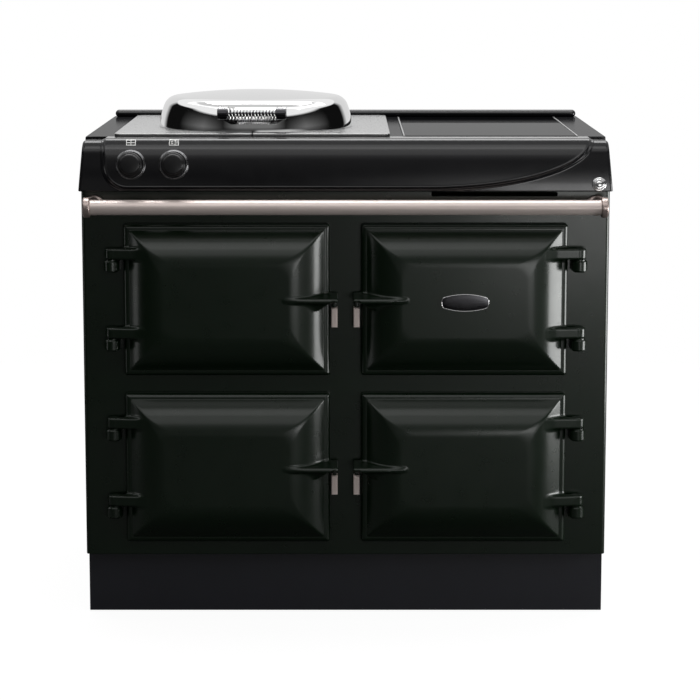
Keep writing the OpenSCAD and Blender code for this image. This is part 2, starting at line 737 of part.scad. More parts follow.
// Mats of insulation: at each side, between the ovens, behind them, and above and below each oven
module insulation() color("khaki") in_frame() {
    fit = 0.3;
    y0 = plate_t + flange_t + fit;
    y1 = oven_back + liner_t + fit;
    half_pocket = mouth_w / 2 + liner_t + fit;
    x0 = door_x - half_pocket;
    x1 = door_x + half_pocket;
    under = element_z - element_r - fit;      // top of the mat below an oven, from the oven's middle
    over = liner_z + fit;                     // bottom of the mat above an oven
    levels = [[plinth_h, door_z[LOW] + under], [door_z[LOW] + over, door_z[HIGH] + under],
        [door_z[HIGH] + over, insulation_top]];
    span_box([-x0, y0, plinth_h], [x0, y1, insulation_top]);
    for (side = [0, 1]) mirror([side, 0, 0]) {
        span_box([x1, y0, plinth_h], [insulation_half, y1, insulation_top]);
        for (z = levels) span_box([x0 + fit, y0, z[0]], [x1 - fit, y1, z[1]]);
    }
    difference() {
        span_box([-insulation_half, y1 + fit, plinth_h], [insulation_half, back_y - 24, insulation_top]);
        for (side = [LEFT, RIGHT], row = [LOW, HIGH], x = [-element_half, element_half])
            at_door(side, row) translate([x, 0, element_z]) rod_y(element_r + 1, y1, element_back + 4);
    }
}

// ---------------------------------------------------------------- towel rail

module towel_rail() color("rosybrown") in_frame()
    translate([0, -rail_fwd, fascia_z - rail_drop]) rod_x(rail_r, cooker_w - 2 * rail_margin - 12);

// End brackets: a foot on the plate blended into a cap round the end of the rail
module rail_brackets() color("rosybrown") in_frame() {
    cap_t = 13;
    foot_r = 17;
    for (side = [0, 1]) mirror([side, 0, 0]) translate([half_w - rail_margin - cap_t / 2, 0, fascia_z - rail_drop])
        difference() {
            union() {
                hull() {
                    translate([0, -rail_fwd, 0]) rod_x(rail_cap_r - 1.5, cap_t, $fn = 48);
                    translate([0, -rail_fwd, 0]) rod_x(rail_cap_r, cap_t - 4, $fn = 48);
                    translate([-foot_r + cap_t / 2, 0, 0]) rod_y(foot_r, -6, 0, $fn = 48);
                }
            }
            translate([-cap_t, -rail_fwd, 0]) rod_x(rail_r + 0.1, 2 * cap_t + 14);
        }
}

// ---------------------------------------------------------------- top casting

// Section of the top casting, set in by s: a leaning face, a round nose and a flat top
module nose_outline(s) {
    r = nose_r - s;
    centre = [nose_y, hob_h - nose_r];
    tangent = centre + r * [-cos(fascia_lean), sin(fascia_lean)];
    foot = tangent - (tangent[1] - fascia_z) * [tan(fascia_lean), 1];
    polygon([foot, [body_d, fascia_z], [body_d, hob_h - s], [centre[0], hob_h - s], centre, tangent]);
    translate(centre) circle(r = r);
}

// Top casting as a solid, with its face set in by s, its sides by side and drawn in towards the top
module hob_form(s, side) {
    reach = body_d + 2 * fascia_out;
    intersection() {
        along_x(2 * hob_bottom_half) nose_outline(s);
        translate([0, body_d, 0]) rotate([90, 0, 0]) linear_extrude(reach)
            polygon([[-hob_bottom_half + side, fascia_z], [hob_bottom_half - side, fascia_z],
                [hob_top_half - side, hob_h], [-hob_top_half + side, hob_h]]);
    }
}

// Outline of the raised field: round at the lower left, sweeping up in one arc to the right
module field_outline() {
    z0 = fascia_z + field_z;
    left = -half_w + field_end;
    translate([left + field_corner_r, z0]) square([field_sweep_x - left - field_corner_r, 2 * field_top]);
    translate([left, z0 + field_corner_r]) square([field_corner_r + 1, 2 * field_top - field_corner_r]);
    translate([left + field_corner_r, z0 + field_corner_r]) circle(r = field_corner_r);
    intersection() {
        translate([field_sweep_x, z0 + field_sweep_r]) circle(r = field_sweep_r, $fn = 360);
        translate([field_sweep_x - 1, z0]) square([field_run + 1, 2 * field_top]);
    }
}

// Fascia: a hollow nose with a raised field between two lower ends and a lip that meets the plate
module fascia_panel() color("#101010") in_frame() {
    wall = field_raise + casting_t;
    difference() {
        intersection() {
            union() {
                hob_form(field_raise, 0);
                intersection() {
                    hob_form(0, 0);
                    translate([0, joint_y, 0]) rotate([90, 0, 0]) linear_extrude(joint_y + 2 * fascia_out) field_outline();
                }
            }
            span_box([-half_w - 20, -2 * fascia_out, fascia_z], [half_w + 20, joint_y, hob_h + 1]);
        }
        intersection() {
            hob_form(wall, casting_t);
            span_box([-half_w, -2 * fascia_out, fascia_z + lip_t], [half_w, joint_y + 1, hob_h]);
        }
        span_box([-half_w + casting_t, plate_t, fascia_z - 1], [half_w - casting_t, joint_y + 1, fascia_z + lip_t + 1]);
        for (i = [0, 1]) at_knob(i) rod_y(bush_hole_r, -20, 20);
    }
}

// Flat top plate with deep edges, the hotplate's round hole and a rebate for the hob
module top_plate() color("#101010") in_frame() difference() {
    intersection() {
        hob_form(0, 0);
        span_box([-half_w - 20, joint_y + seat, fascia_z], [half_w + 20, body_d, hob_h]);
    }
    intersection() {
        hob_form(plate_top_t, casting_t);
        span_box([-half_w - 20, joint_y - 1, fascia_z - 1], [half_w + 20, body_d - casting_t, hob_h]);
    }
    translate([hotplate_x, hotplate_y, hob_h - 20]) cylinder(r = hotplate_r + 8, h = 40);
    span_box([glass_x0, surround_y0, glass_seat], [glass_x1, surround_y1, hob_h + 1]);
    span_box([glass_x0 + glass_ledge, surround_y0 + glass_ledge, hob_h - 20],
        [glass_x1 - glass_ledge, surround_y1 - glass_ledge, hob_h + 1]);
}

// Round bar along the rear edge of the top, with ball ends and a flat where it sits
module rear_bar() color("#101010") in_frame() difference() {
    translate([0, bar_y, hob_h + bar_r - bar_flat]) {
        rod_x(bar_r, 2 * (hob_top_half - bar_r - 4));
        for (x = [-1, 1]) translate([x * (hob_top_half - bar_r - 4), 0, 0]) sphere(r = bar_r);
    }
    span_box([-half_w, bar_y - 2 * bar_r, hob_h - 10], [half_w, bar_y + 2 * bar_r, hob_h]);
}

// Plain round button at the right end of the fascia
module fascia_button() color("silver") in_frame()
    translate([button_x, -fascia_out + field_raise / cos(fascia_lean) + (button_z - fascia_z) * tan(fascia_lean), button_z])
        rotate([-fascia_lean, 0, 0]) {
            rod_y(button_r, -3, 0);
            rod_y(button_r - 3, -4.5, -2.5);
        }

// ---------------------------------------------------------------- hotplate and hob

// Two raised plates round the hotplate, split on its centre line
module hotplate_surround() color("silver") in_frame() {
    depth = surround_y1 - surround_y0;
    for (side = [LEFT, RIGHT]) intersection() {
        translate([0, 0, hob_h]) linear_extrude(surround_t) difference() {
            translate([hotplate_x, (surround_y0 + surround_y1) / 2]) round_rect(surround_w, depth, surround_corner);
            translate([hotplate_x, hotplate_y]) circle(r = hotplate_r + hotplate_ring);
        }
        translate([hotplate_x + side * (surround_w / 2 + split_gap / 2), (surround_y0 + surround_y1) / 2, hob_h])
            cube([surround_w, depth + 10, 4 * surround_t], center = true);
    }
}

// Two half-round cast hotplates with a thinner rim
module hotplates() color("#555555") in_frame() translate([hotplate_x, hotplate_y, heater_top])
    for (side = [LEFT, RIGHT]) intersection() {
        union() {
            cylinder(r = hotplate_r, h = hotplate_t - 1.5);
            cylinder(r = hotplate_r - 3, h = hotplate_t);
        }
        translate([side * (hotplate_r + split_gap / 2), 0, 0]) cube([2 * hotplate_r, 3 * hotplate_r, 3 * hotplate_t], center = true);
    }

// Round insulated heater drum that carries the hotplates
module hotplate_heater() color("slategray") in_frame() translate([hotplate_x, hotplate_y, 0]) {
    translate([0, 0, insulation_top]) cylinder(r = hotplate_r, h = heater_top - insulation_top);
    translate([0, 0, insulation_top]) cylinder(r = hotplate_r + 6, h = 4);
    translate([0, hotplate_r + 8, insulation_top + 20]) cube([60, 30, 30], center = true);
}

module hob_glass() color("#0c0c0c") in_frame()
    span_box([glass_x0 + trim_w + glass_fit, surround_y0 + glass_fit, glass_seat],
        [glass_x1 - trim_w - glass_fit, surround_y1 - glass_fit, glass_top]);

// Thin metal strips at the left and right edges of the glass
module hob_trim() color("silver") in_frame()
    for (x = [glass_x0, glass_x1 - trim_w])
        span_box([x + (x == glass_x0 ? glass_fit / 3 : 0), surround_y0 + glass_fit, glass_seat],
            [x + trim_w - (x == glass_x0 ? 0 : glass_fit / 3), surround_y1 - glass_fit, glass_top + 0.5]);

// Induction unit under the glass: a tray with two flat coils on top
module induction_module() color("darkslategray") in_frame() {
    margin = glass_ledge + 4;
    tray_top = glass_seat - 8;
    x0 = glass_x0 + margin;
    x1 = glass_x1 - margin;
    y0 = surround_y0 + margin;
    y1 = surround_y1 - margin;
    coil_radius = min((x1 - x0) / 2, (y1 - y0) / 4) - 8;
    difference() {
        span_box([x0, y0, insulation_top + 40], [x1, y1, tray_top]);
        span_box([x0 + 20, y0 - 1, insulation_top + 44], [x1 - 20, y0 + 60, tray_top - 8]);
    }
    for (i = [1, 3]) translate([(x0 + x1) / 2, y0 + (y1 - y0) * i / 4, tray_top]) difference() {
        cylinder(r = coil_radius, h = glass_seat - tray_top);
        translate([0, 0, 3]) cylinder(r = coil_radius / 4, h = 10);
    }
}

// Electronics box on top of the insulation
module control_unit() color("darkgreen") in_frame() {
    x0 = hotplate_x + hotplate_r + 24;
    difference() {
        span_box([x0, 110, insulation_top], [x0 + 86, 380, insulation_top + 42]);
        for (i = [0 : 5]) translate([x0 + 43, 150 + 36 * i, insulation_top + 42]) cube([60, 4, 4], center = true);
    }
}

// ---------------------------------------------------------------- knobs

module knob_bezels() color("#202020") in_frame() for (i = [0, 1]) at_knob(i) difference() {
    union() {
        rod_y(bezel_r, -bezel_t, 0);
        rod_y(bezel_r - 2, -bezel_t - 1.5, -bezel_t + 0.5);
    }
    rod_y(bush_hole_r, -20, 20);
}

// Rotary switches behind the fascia, each with a bush through it
module knob_switches() color("ivory") in_frame() for (i = [0, 1]) at_knob(i) difference() {
    back = casting_t + field_raise;
    union() {
        rod_y(bush_r, -3, back + 5);
        translate([0, back + 14, 0]) cube([switch_size, 27, switch_size], center = true);
    }
    rod_y(spindle_r + spindle_clear, -20, back + 25);
}

// Spindle from the knob into the switch
module spindle(i) color("gray") in_frame() at_knob(i) rod_y(spindle_r, -bezel_t - 16, field_raise + casting_t + 22);

// Round knob with a stepped front, a bored hub and a pointer notch
module knob(i) color("#0e0e0e") in_frame() at_knob(i) {
    front = -bezel_t - 3 - knob_d;
    difference() {
        union() {
            rod_y(knob_r - 2, front + 2, -bezel_t - 2.5);
            rod_y(knob_r, front + 4, -bezel_t - 5);
            rod_y(knob_r - 4, front, front + 4);
        }
        rod_y(spindle_r + 0.02, -bezel_t - 18, 0);
        translate([0, front, knob_r - 8]) cube([2, 1.6, 8], center = true);
    }
}

// ---------------------------------------------------------------- lid

// Half section of the lid, set in by s: a leaning side, a round shoulder and a shallow dome
module lid_outline(s) {
    r = lid_shoulder_r - s;
    side = [lid_shoulder_x + r * cos(lid_lean), lid_shoulder_z + r * sin(lid_lean)];
    shoulder = [lid_shoulder_x, lid_shoulder_z];
    reach = 1.1 * (shoulder - [0, lid_dome_z]);
    polygon([[0, 0], [side[0] + side[1] * tan(lid_lean), 0], side, shoulder, [0, lid_shoulder_z]]);
    intersection() {
        translate(shoulder) circle(r = r);
        translate([lid_shoulder_x - r, lid_shoulder_z]) square(2 * r);
    }
    intersection() {
        translate([0, lid_dome_z]) circle(r = lid_dome_r - s, $fn = 720);
        polygon([[0, lid_shoulder_z - 1], shoulder, [0, lid_dome_z] + reach, [0, lid_rise + 60]]);
    }
}

module lid_form(s) rotate_extrude($fn = 144) lid_outline(s);

// Spun lid: a thin shell, open below
module lid_shell() color("gainsboro") in_frame() at_lid() difference() {
    lid_form(0);
    intersection() {
        lid_form(lid_t);
        translate([0, 0, -1]) cylinder(r = lid_r, h = 2 * lid_rise);
    }
    translate([0, 0, -1]) cylinder(r = lid_r - lid_t - 1, h = 3);
}

// Pan that closes the underside of the lid
module lid_liner() color("lightgray") in_frame() at_lid() difference() {
    liner_r = lid_r - lid_t - 1.4;
    translate([0, 0, 0.3]) cylinder(r1 = liner_r, r2 = liner_r - 2, h = 8);
    translate([0, 0, 2]) cylinder(r1 = liner_r - 2.5, r2 = liner_r - 4.2, h = 8);
    translate([0, 0, -1]) cylinder(r1 = liner_r - 22, r2 = liner_r - 24, h = 1.8);
}

// Fixed half of the lid's hinge: a foot, two ears and the pin
module lid_hinge_base() color("silver") in_frame() translate([hotplate_x, lid_hinge_y, surround_top]) {
    ear_x = lid_knuckle_w / 2 + 1;
    foot_w = 2 * (ear_x + lid_ear_w) + 20;
    difference() {
        translate([0, 3, 2]) cube([foot_w, 26, 4], center = true);
        for (x = [-1, 1]) translate([x * (foot_w / 2 - 6), 3, -1]) cylinder(r = 2.5, h = 6);
    }
    for (x = [-1, 1]) translate([x * (ear_x + lid_ear_w / 2), 0, 0]) {
        translate([0, 0, lid_hinge_z]) rod_x(lid_knuckle_r, lid_ear_w);
        translate([0, 0, lid_hinge_z / 2]) cube([lid_ear_w, 2 * lid_knuckle_r, lid_hinge_z], center = true);
    }
    translate([0, 0, lid_hinge_z]) rod_x(lid_pin_r, 2 * ear_x + 2);
}

// Moving half of the lid's hinge: a bored knuckle with an arm that fits the lid's side
module lid_hinge_arm() color("silver") in_frame() difference() {
    translate([hotplate_x, lid_hinge_y, surround_top + lid_hinge_z]) difference() {
        union() {
            rod_x(lid_knuckle_r, lid_knuckle_w);
            span_box([-lid_knuckle_w / 2, -lid_hinge_out - 16, -6], [lid_knuckle_w / 2, 0, 6]);
        }
        rod_x(lid_pin_r + pin_clear, lid_knuckle_w + 2);
    }
    at_lid() lid_form(0);
}

// Two posts that carry the handle, shaped to the lid's side and bored for the rod
module lid_handle_posts() color("gray") in_frame() difference() {
    for (x = [-1, 1]) translate([hotplate_x + x * (post_span + post_w) / 2, grip_y, lid_z + grip_z]) difference() {
        union() {
            rod_x(post_r, post_w);
            span_box([-post_w / 2, 0, -post_r], [post_w / 2, grip_out + 35, post_r]);
        }
        translate([-x * 4, 0, 0]) rod_x(grip_rod_r + 0.05, post_w);
    }
    at_lid() lid_form(0);
}

module lid_handle_rod() color("gray") in_frame()
    translate([hotplate_x, grip_y, lid_z + grip_z]) rod_x(grip_rod_r, post_span + 2 * post_w - 8.2);

// Coiled wire sleeve round the rod. Each ring of points is [place along the rod, turn in degrees]:
// a straight end, a ramp up to the full winding, the winding, and the same again in reverse.
coil_rings = 8;
coil_sides = 6;
ramp_rings = 6;
coil_pitch = (post_span - 2 * coil_wire) / (coil_turns + 2);
ramp_turn = 180;                              // turn made by a ramp one pitch long
winding = concat(
    [[0, 0], [coil_wire, 0]],
    [for (i = [1 : ramp_rings]) [coil_wire + coil_pitch * i / ramp_rings, ramp_turn * pow(i / ramp_rings, 2)]],
    [for (i = [1 : coil_rings * coil_turns])
        [coil_wire + coil_pitch * (1 + i / coil_rings), ramp_turn + 360 / coil_rings * i]],
    [for (i = [1 : ramp_rings]) [coil_wire + coil_pitch * (1 + coil_turns + i / ramp_rings),
        2 * ramp_turn + 360 * coil_turns - ramp_turn * pow(1 - i / ramp_rings, 2)]],
    [[post_span, 2 * ramp_turn + 360 * coil_turns]]);
function coil_point(p) = [p[0] - post_span / 2, coil_r * cos(p[1]), coil_r * sin(p[1])];
coil_line = [for (p = winding) coil_point(p)];
function unit(v) = v / norm(v);
function coil_tangent(i) = i < 1 || i > len(winding) - 2 ? [1, 0, 0] : unit(coil_line[i + 1] - coil_line[i - 1]);
function coil_ring(i) =
    let (out = [0, cos(winding[i][1]), sin(winding[i][1])], along = coil_tangent(i), across = cross(along, out))
    [for (k = [0 : coil_sides - 1])
        coil_line[i] + coil_wire / 2 * (cos(360 * k / coil_sides) * out + sin(360 * k / coil_sides) * across)];
coil_points = [for (i = [0 : len(winding) - 1]) each coil_ring(i)];
coil_last = (len(winding) - 1) * coil_sides;
coil_faces = concat(
    [for (i = [0 : len(winding) - 2], k = [0 : coil_sides - 1], half = [0, 1])
        let (a = i * coil_sides + k, b = i * coil_sides + (k + 1) % coil_sides)
        half == 0 ? [a, b, a + coil_sides] : [b, b + coil_sides, a + coil_sides]],
    [for (k = [1 : coil_sides - 2]) [0, k + 1, k]],
    [for (k = [1 : coil_sides - 2]) [coil_last, coil_last + k, coil_last + k + 1]]);
// Least gap of the wire to itself, between points more than half a turn apart
coil_gap = min([for (i = [0 : len(winding) - 1], j = [i + 1 : 1 : len(winding) - 1])
    if (winding[j][1] - winding[i][1] > ramp_turn) norm(coil_line[i] - coil_line[j]) - coil_wire]);
echo(coil_gap = coil_gap);

module lid_handle_coil() color("gainsboro") in_frame()
    translate([hotplate_x, grip_y, lid_z + grip_z]) polyhedron(coil_points, coil_faces);

// ---------------------------------------------------------------- pieces

base_frame();
levelling_feet();
plinth_panel();
side_panels();
back_panel();
front_plate();
top_plate();
fascia_panel();
rear_bar();
hotplate_surround();
hotplates();
hotplate_heater();
hob_glass();
hob_trim();
induction_module();
oven_liner(LEFT, HIGH);  // oven_liner_tl
oven_liner(RIGHT, HIGH);  // oven_liner_tr
oven_liner(LEFT, LOW);  // oven_liner_bl
oven_liner(RIGHT, LOW);  // oven_liner_br
oven_seals();
oven_elements();
insulation();
hinge_brackets();
door_catches();
towel_rail();
rail_brackets();
lid_hinge_base();
knob_bezels();
knob_switches();
control_unit();
cable_gland();
fascia_button();
door_casting(LEFT, HIGH);  // door_casting_tl
door_casting(RIGHT, HIGH);  // door_casting_tr
door_casting(LEFT, LOW);  // door_casting_bl
door_casting(RIGHT, LOW);  // door_casting_br
door_panel(LEFT, HIGH);  // door_panel_tl
door_panel(RIGHT, HIGH);  // door_panel_tr
door_panel(LEFT, LOW);  // door_panel_bl
door_panel(RIGHT, LOW);  // door_panel_br
door_insulation(LEFT, HIGH);  // door_insulation_tl
door_insulation(RIGHT, HIGH);  // door_insulation_tr
door_insulation(LEFT, LOW);  // door_insulation_bl
door_insulation(RIGHT, LOW);  // door_insulation_br
door_badge();
lid_shell();
lid_liner();
lid_hinge_arm();
lid_handle_posts();
lid_handle_rod();
lid_handle_coil();
knob(0);  // oven_knob
spindle(0);  // oven_spindle
knob(1);  // hob_knob
spindle(1);  // hob_spindle
rack(LEFT, HIGH);  // rack_tl
rack(RIGHT, HIGH);  // rack_tr
rack(LEFT, LOW);  // rack_bl
rack(RIGHT, LOW);  // rack_br
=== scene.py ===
import json
import math

import bpy
import numpy as np
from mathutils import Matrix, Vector


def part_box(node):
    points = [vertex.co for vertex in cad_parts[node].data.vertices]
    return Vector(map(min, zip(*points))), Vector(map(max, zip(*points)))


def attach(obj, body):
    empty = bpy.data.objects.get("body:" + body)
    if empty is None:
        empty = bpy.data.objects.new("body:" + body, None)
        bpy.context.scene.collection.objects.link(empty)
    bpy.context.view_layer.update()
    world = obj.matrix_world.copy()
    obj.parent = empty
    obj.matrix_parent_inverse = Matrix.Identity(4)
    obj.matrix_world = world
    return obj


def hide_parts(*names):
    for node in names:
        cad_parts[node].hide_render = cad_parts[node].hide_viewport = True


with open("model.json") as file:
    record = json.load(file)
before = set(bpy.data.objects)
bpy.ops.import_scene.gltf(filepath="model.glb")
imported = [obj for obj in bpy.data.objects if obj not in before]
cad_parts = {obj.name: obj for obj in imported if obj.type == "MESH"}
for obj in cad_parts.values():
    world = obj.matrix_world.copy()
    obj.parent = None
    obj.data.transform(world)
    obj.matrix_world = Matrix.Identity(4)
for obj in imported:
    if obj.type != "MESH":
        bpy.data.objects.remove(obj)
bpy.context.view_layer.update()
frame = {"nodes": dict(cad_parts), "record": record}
NODES = frame["nodes"]
MM = 0.001

# ------------------------------------------------------------------ sizes, in millimetres
# Most of them repeat sizes of the frame. The places of doors, lid, badge and coil come from its nodes' boxes.

PLATE_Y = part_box("front_plate")[0].y / MM      # face of the front plate
DOORS = {"tl": -1, "tr": 1, "bl": -1, "br": 1}  # door, and the side that it is on

DOOR_W, DOOR_H = 386.2, 287.0
DOOR_GAP = 2.0
EDGE_OUT = 15.0          # middle of the bead, before the plate
BEAD_R = 6.0
RIM_ROUND = 1.6 * BEAD_R
BAND = 11.0              # flat band between the outline and the slopes
HIP_FOOT = EDGE_OUT + BEAD_R - 0.5      # where the slopes start, a little under the top of the rim
HIP_FOOT_R = 3.0         # corner radius of the slopes at their foot
HIP_UNDER = 3.0          # how far the slopes run on under the rim
CROWN_INSET = 78.0
CROWN_R = 30.0
CROWN_OUT = 53.0
HIP_POWER = 2.1          # how late the slopes round off into the crown
HIP_CORNER_POWER = 3.0   # how late the corners of the slopes widen to the crown's radius

FIN_T, FIN_IN, FIN_PAST, FIN_OUT, FIN_REAR = 7.0, 75.0, 15.0, 57.0, 10.0
FIN_SLOPE = 0.16         # how steeply the fin's upper face falls to its front edge
SCOOP_H = 16.5           # depth of the web under the fin
NOSE_W, NOSE_DROP, NOSE_FROM_EDGE = 8.0, 13.7, 8.5
LUG_R, LUG_T, LUG_LEAN, LUG_REACH = 12.5, 20.0, 7.0, 42.0
HINGE_OUT, HINGE_FWD = 21.5, 20.0
LUG_LOWS = (72.5 - DOOR_H / 2, DOOR_H / 2 - 45.5 - LUG_T)    # lower faces of the lugs, from the door's middle
PIN_R = 5.0

HOB_Z, FASCIA_Z = 913.0, 815.0
FASCIA_OUT, FASCIA_DEPTH, LEAN = 26.0, 47.0, math.radians(6.6)
FASCIA_HALF = (498.0, 489.0)    # half width at the bottom and at the top
NOSE_DEPTH = 20.0               # depth of the rounding, whose height differs on the field and the ends
NOSE_FIELD, NOSE_ENDS = 48.0, 29.0
FIELD_RAISE, FIELD_BEVEL = 4.0, 6.7
RIDGE = 0.8                     # fine rib along both edges of the field's step
FACE_BOW = 2.4                  # how far the lower half of the face curves back at its lower edge
FIELD_LEFT, FIELD_Z, FIELD_R = -446.5, 9.0, 41.0
FIELD_SWEEP_X, FIELD_RIGHT = 150.0, 454.0     # ends of the quarter ellipse on its right
WALL, LIP, PLATE_T = 6.0, 6.0, 8.0
KNOBS = {"oven": -399.0, "hob": -319.0}
KNOB_Z, BUSH_R = 865.0, 7.3
BUTTON_X, BUTTON_Z = 471.5, 829.0
RAIL_Z, RAIL_OUT, RAIL_R, CAP_R, CAP_X, CAP_T = 788.0, 44.0, 14.0, 19.0, 479.5, 13.0
BADGE_W, BADGE_H, BADGE_ARC, BADGE_END = 89.0, 33.0, 138.0, 16.0

LID_R, LID_LEAN, LID_T = 189.0, 12.0, 2.5
LATE_LEAN = 22.0                # lean at which the bowed side of the lid passes into its shoulder
SHOULDER_R, SHOULDER_Z, LID_RISE = 27.0, 33.0, 70.0
POST_SPAN = 91.0                # between the posts of the lid's handle
COIL_R, WIRE_R, COIL_TURNS = 10.2, 1.3, 15


# ------------------------------------------------------------------ material nodes

def new_material(name, color, roughness, metallic=0.0, specular=0.5):
    """A material with one Principled shader. Returns the material, its tree and the shader."""
    mat = bpy.data.materials.new(name)
    mat.use_nodes = True
    tree = mat.node_tree
    shader = tree.nodes["Principled BSDF"]
    shader.inputs["Base Color"].default_value = (*color, 1)
    shader.inputs["Roughness"].default_value = roughness
    shader.inputs["Metallic"].default_value = metallic
    shader.inputs["Specular IOR Level"].default_value = specular
    return mat, tree, shader


def set_coat(shader, weight, roughness):
    """A clear top layer, whose weight also limits what it mirrors at a flat angle."""
    shader.inputs["Coat Weight"].default_value = weight
    shader.inputs["Coat Roughness"].default_value = roughness


def node(tree, kind, inputs=None, **settings):
    """Adds a node. Each input is a number, a colour or the output of another node."""
    made = tree.nodes.new(kind)
    for key, value in settings.items():
        setattr(made, key, value)
    for key, value in (inputs or {}).items():
        if isinstance(value, bpy.types.NodeSocket):
            tree.links.new(value, made.inputs[key])
        else:
            made.inputs[key].default_value = value
    return made


def coords(tree, stretch=(1, 1, 1)):
    """Object coordinates in metres, stretched along the axes."""
    place = node(tree, "ShaderNodeTexCoord").outputs["Object"]
    mapped = node(tree, "ShaderNodeMapping", {"Vector": place, "Scale": stretch})
    return mapped.outputs["Vector"]


def noise(tree, size, stretch=(1, 1, 1), detail=3.0, rough=0.5):
    """Noise whose grains are about size metres wide, from 0 to 1."""
    made = node(tree, "ShaderNodeTexNoise", {"Vector": coords(tree, stretch), "Scale": 1 / size,
                                             "Detail": detail, "Roughness": rough})
    return made.outputs["Fac"]


def spread(tree, value, low, high, start=0.3, end=0.7):
    """Carries value from start..end to low..high."""
    made = node(tree, "ShaderNodeMapRange", {"Value": value, "From Min": start, "From Max": end,
                                             "To Min": low, "To Max": high})
    return made.outputs["Result"]


def math_node(tree, operation, a, b=0.0):
    """The result of one operation on two numbers or outputs."""
    return node(tree, "ShaderNodeMath", {0: a, 1: b}, operation=operation).outputs[0]


def scaled(color, factor):
    """A colour made lighter or darker by a factor, up to 1."""
    return tuple(min(1, factor * c) for c in color)


def mix_color(tree, factor, a, b):
    """Mixes two colours, given as colours or outputs."""
    made = node(tree, "ShaderNodeMix", {"Factor": factor}, data_type="RGBA")
    for slot, value in (("A", a), ("B", b)):
        socket = [s for s in made.inputs if s.name == slot and s.type == "RGBA"][0]
        if isinstance(value, bpy.types.NodeSocket):
            tree.links.new(value, socket)
        else:
            socket.default_value = (*value, 1)
    return [s for s in made.outputs if s.type == "RGBA"][0]


def bump(tree, shader, height, depth, coat=False):
    """Bumps the shader by height times depth in metres."""
    made = node(tree, "ShaderNodeBump", {"Height": height, "Strength": 1.0, "Distance": depth})
    tree.links.new(made.outputs["Normal"], shader.inputs["Normal"])
    if coat:
        tree.links.new(made.outputs["Normal"], shader.inputs["Coat Normal"])


# ------------------------------------------------------------------ materials

def enamel(name, color, coat, coat_roughness, peel, satin=0.5, specular=0.5, tint=(1, 1, 1)):
    """Vitreous enamel: deep colour with a satin body and a glassier coat, and a faint orange peel."""
    mat, tree, shader = new_material(name, color, satin, specular=specular)
    shader.inputs["Specular Tint"].default_value = (*tint, 1)
    set_coat(shader, coat, coat_roughness)
    cloud = noise(tree, 0.09, detail=2.0)
    tone = mix_color(tree, cloud, scaled(color, 0.75), scaled(color, 1.2))
    tree.links.new(tone, shader.inputs["Base Color"])
    tree.links.new(spread(tree, noise(tree, 0.03), satin - 0.02, satin + 0.02), shader.inputs["Roughness"])
    bump(tree, shader, noise(tree, 0.006, detail=1.0), peel, coat=True)
    return mat


def brushed(name, color, roughness, grain, strength=0.5, depth=0.00001, metallic=1.0):
    """Brushed metal. The grain gives the stretch of the scratches, long where it is small."""
    mat, tree, shader = new_material(name, color, roughness, metallic=metallic)
    line = noise(tree, 0.0012, stretch=grain, detail=4.0, rough=0.6)
    tree.links.new(spread(tree, line, roughness * (1 - strength), roughness * (1 + strength)),
                   shader.inputs["Roughness"])
    tree.links.new(mix_color(tree, line, scaled(color, 0.9), color), shader.inputs["Base Color"])
    bump(tree, shader, line, depth)
    return mat


def rough_metal(name, color, roughness, metallic, size, depth):
    """Cast, sheet or coated metal with a fine grain and cloudy tone."""
    mat, tree, shader = new_material(name, color, roughness, metallic=metallic)
    grain = noise(tree, size, detail=5.0, rough=0.65)
    cloud = noise(tree, 0.05, detail=3.0)
    tone = mix_color(tree, cloud, scaled(color, 0.75), scaled(color, 1.2))
    tree.links.new(tone, shader.inputs["Base Color"])
    tree.links.new(spread(tree, grain, roughness - 0.08, min(1, roughness + 0.1)), shader.inputs["Roughness"])
    bump(tree, shader, grain, depth)
    return mat


def plastic(name, color, roughness, size=0.0006, depth=0.00002):
    """Moulded plastic with a fine spark texture."""
    mat, tree, shader = new_material(name, color, roughness, specular=0.4)
    grain = noise(tree, size, detail=2.0)
    tree.links.new(spread(tree, grain, roughness - 0.05, roughness + 0.08), shader.inputs["Roughness"])
    bump(tree, shader, grain, depth)
    return mat


def spangled(name, color):
    """Galvanised steel with its crystal pattern."""
    mat, tree, shader = new_material(name, color, 0.42, metallic=1.0)
    cell = node(tree, "ShaderNodeTexVoronoi", {"Vector": coords(tree), "Scale": 90.0})
    tone = mix_color(tree, cell.outputs["Color"], scaled(color, 0.82), color)
    tree.links.new(tone, shader.inputs["Base Color"])
    tree.links.new(spread(tree, cell.outputs["Distance"], 0.34, 0.5, 0.0, 0.7), shader.inputs["Roughness"])
    return mat


def fibre(name, color, size, depth):
    """Mineral wool and rope: matt, with strands."""
    mat, tree, shader = new_material(name, color, 0.95, specular=0.1)
    strand = noise(tree, size, stretch=(1, 1, 3), detail=6.0, rough=0.7)
    tree.links.new(mix_color(tree, strand, scaled(color, 0.55), color), shader.inputs["Base Color"])
    tree.links.new(spread(tree, strand, 0.85, 1.0), shader.inputs["Roughness"])
    bump(tree, shader, strand, depth)
    return mat


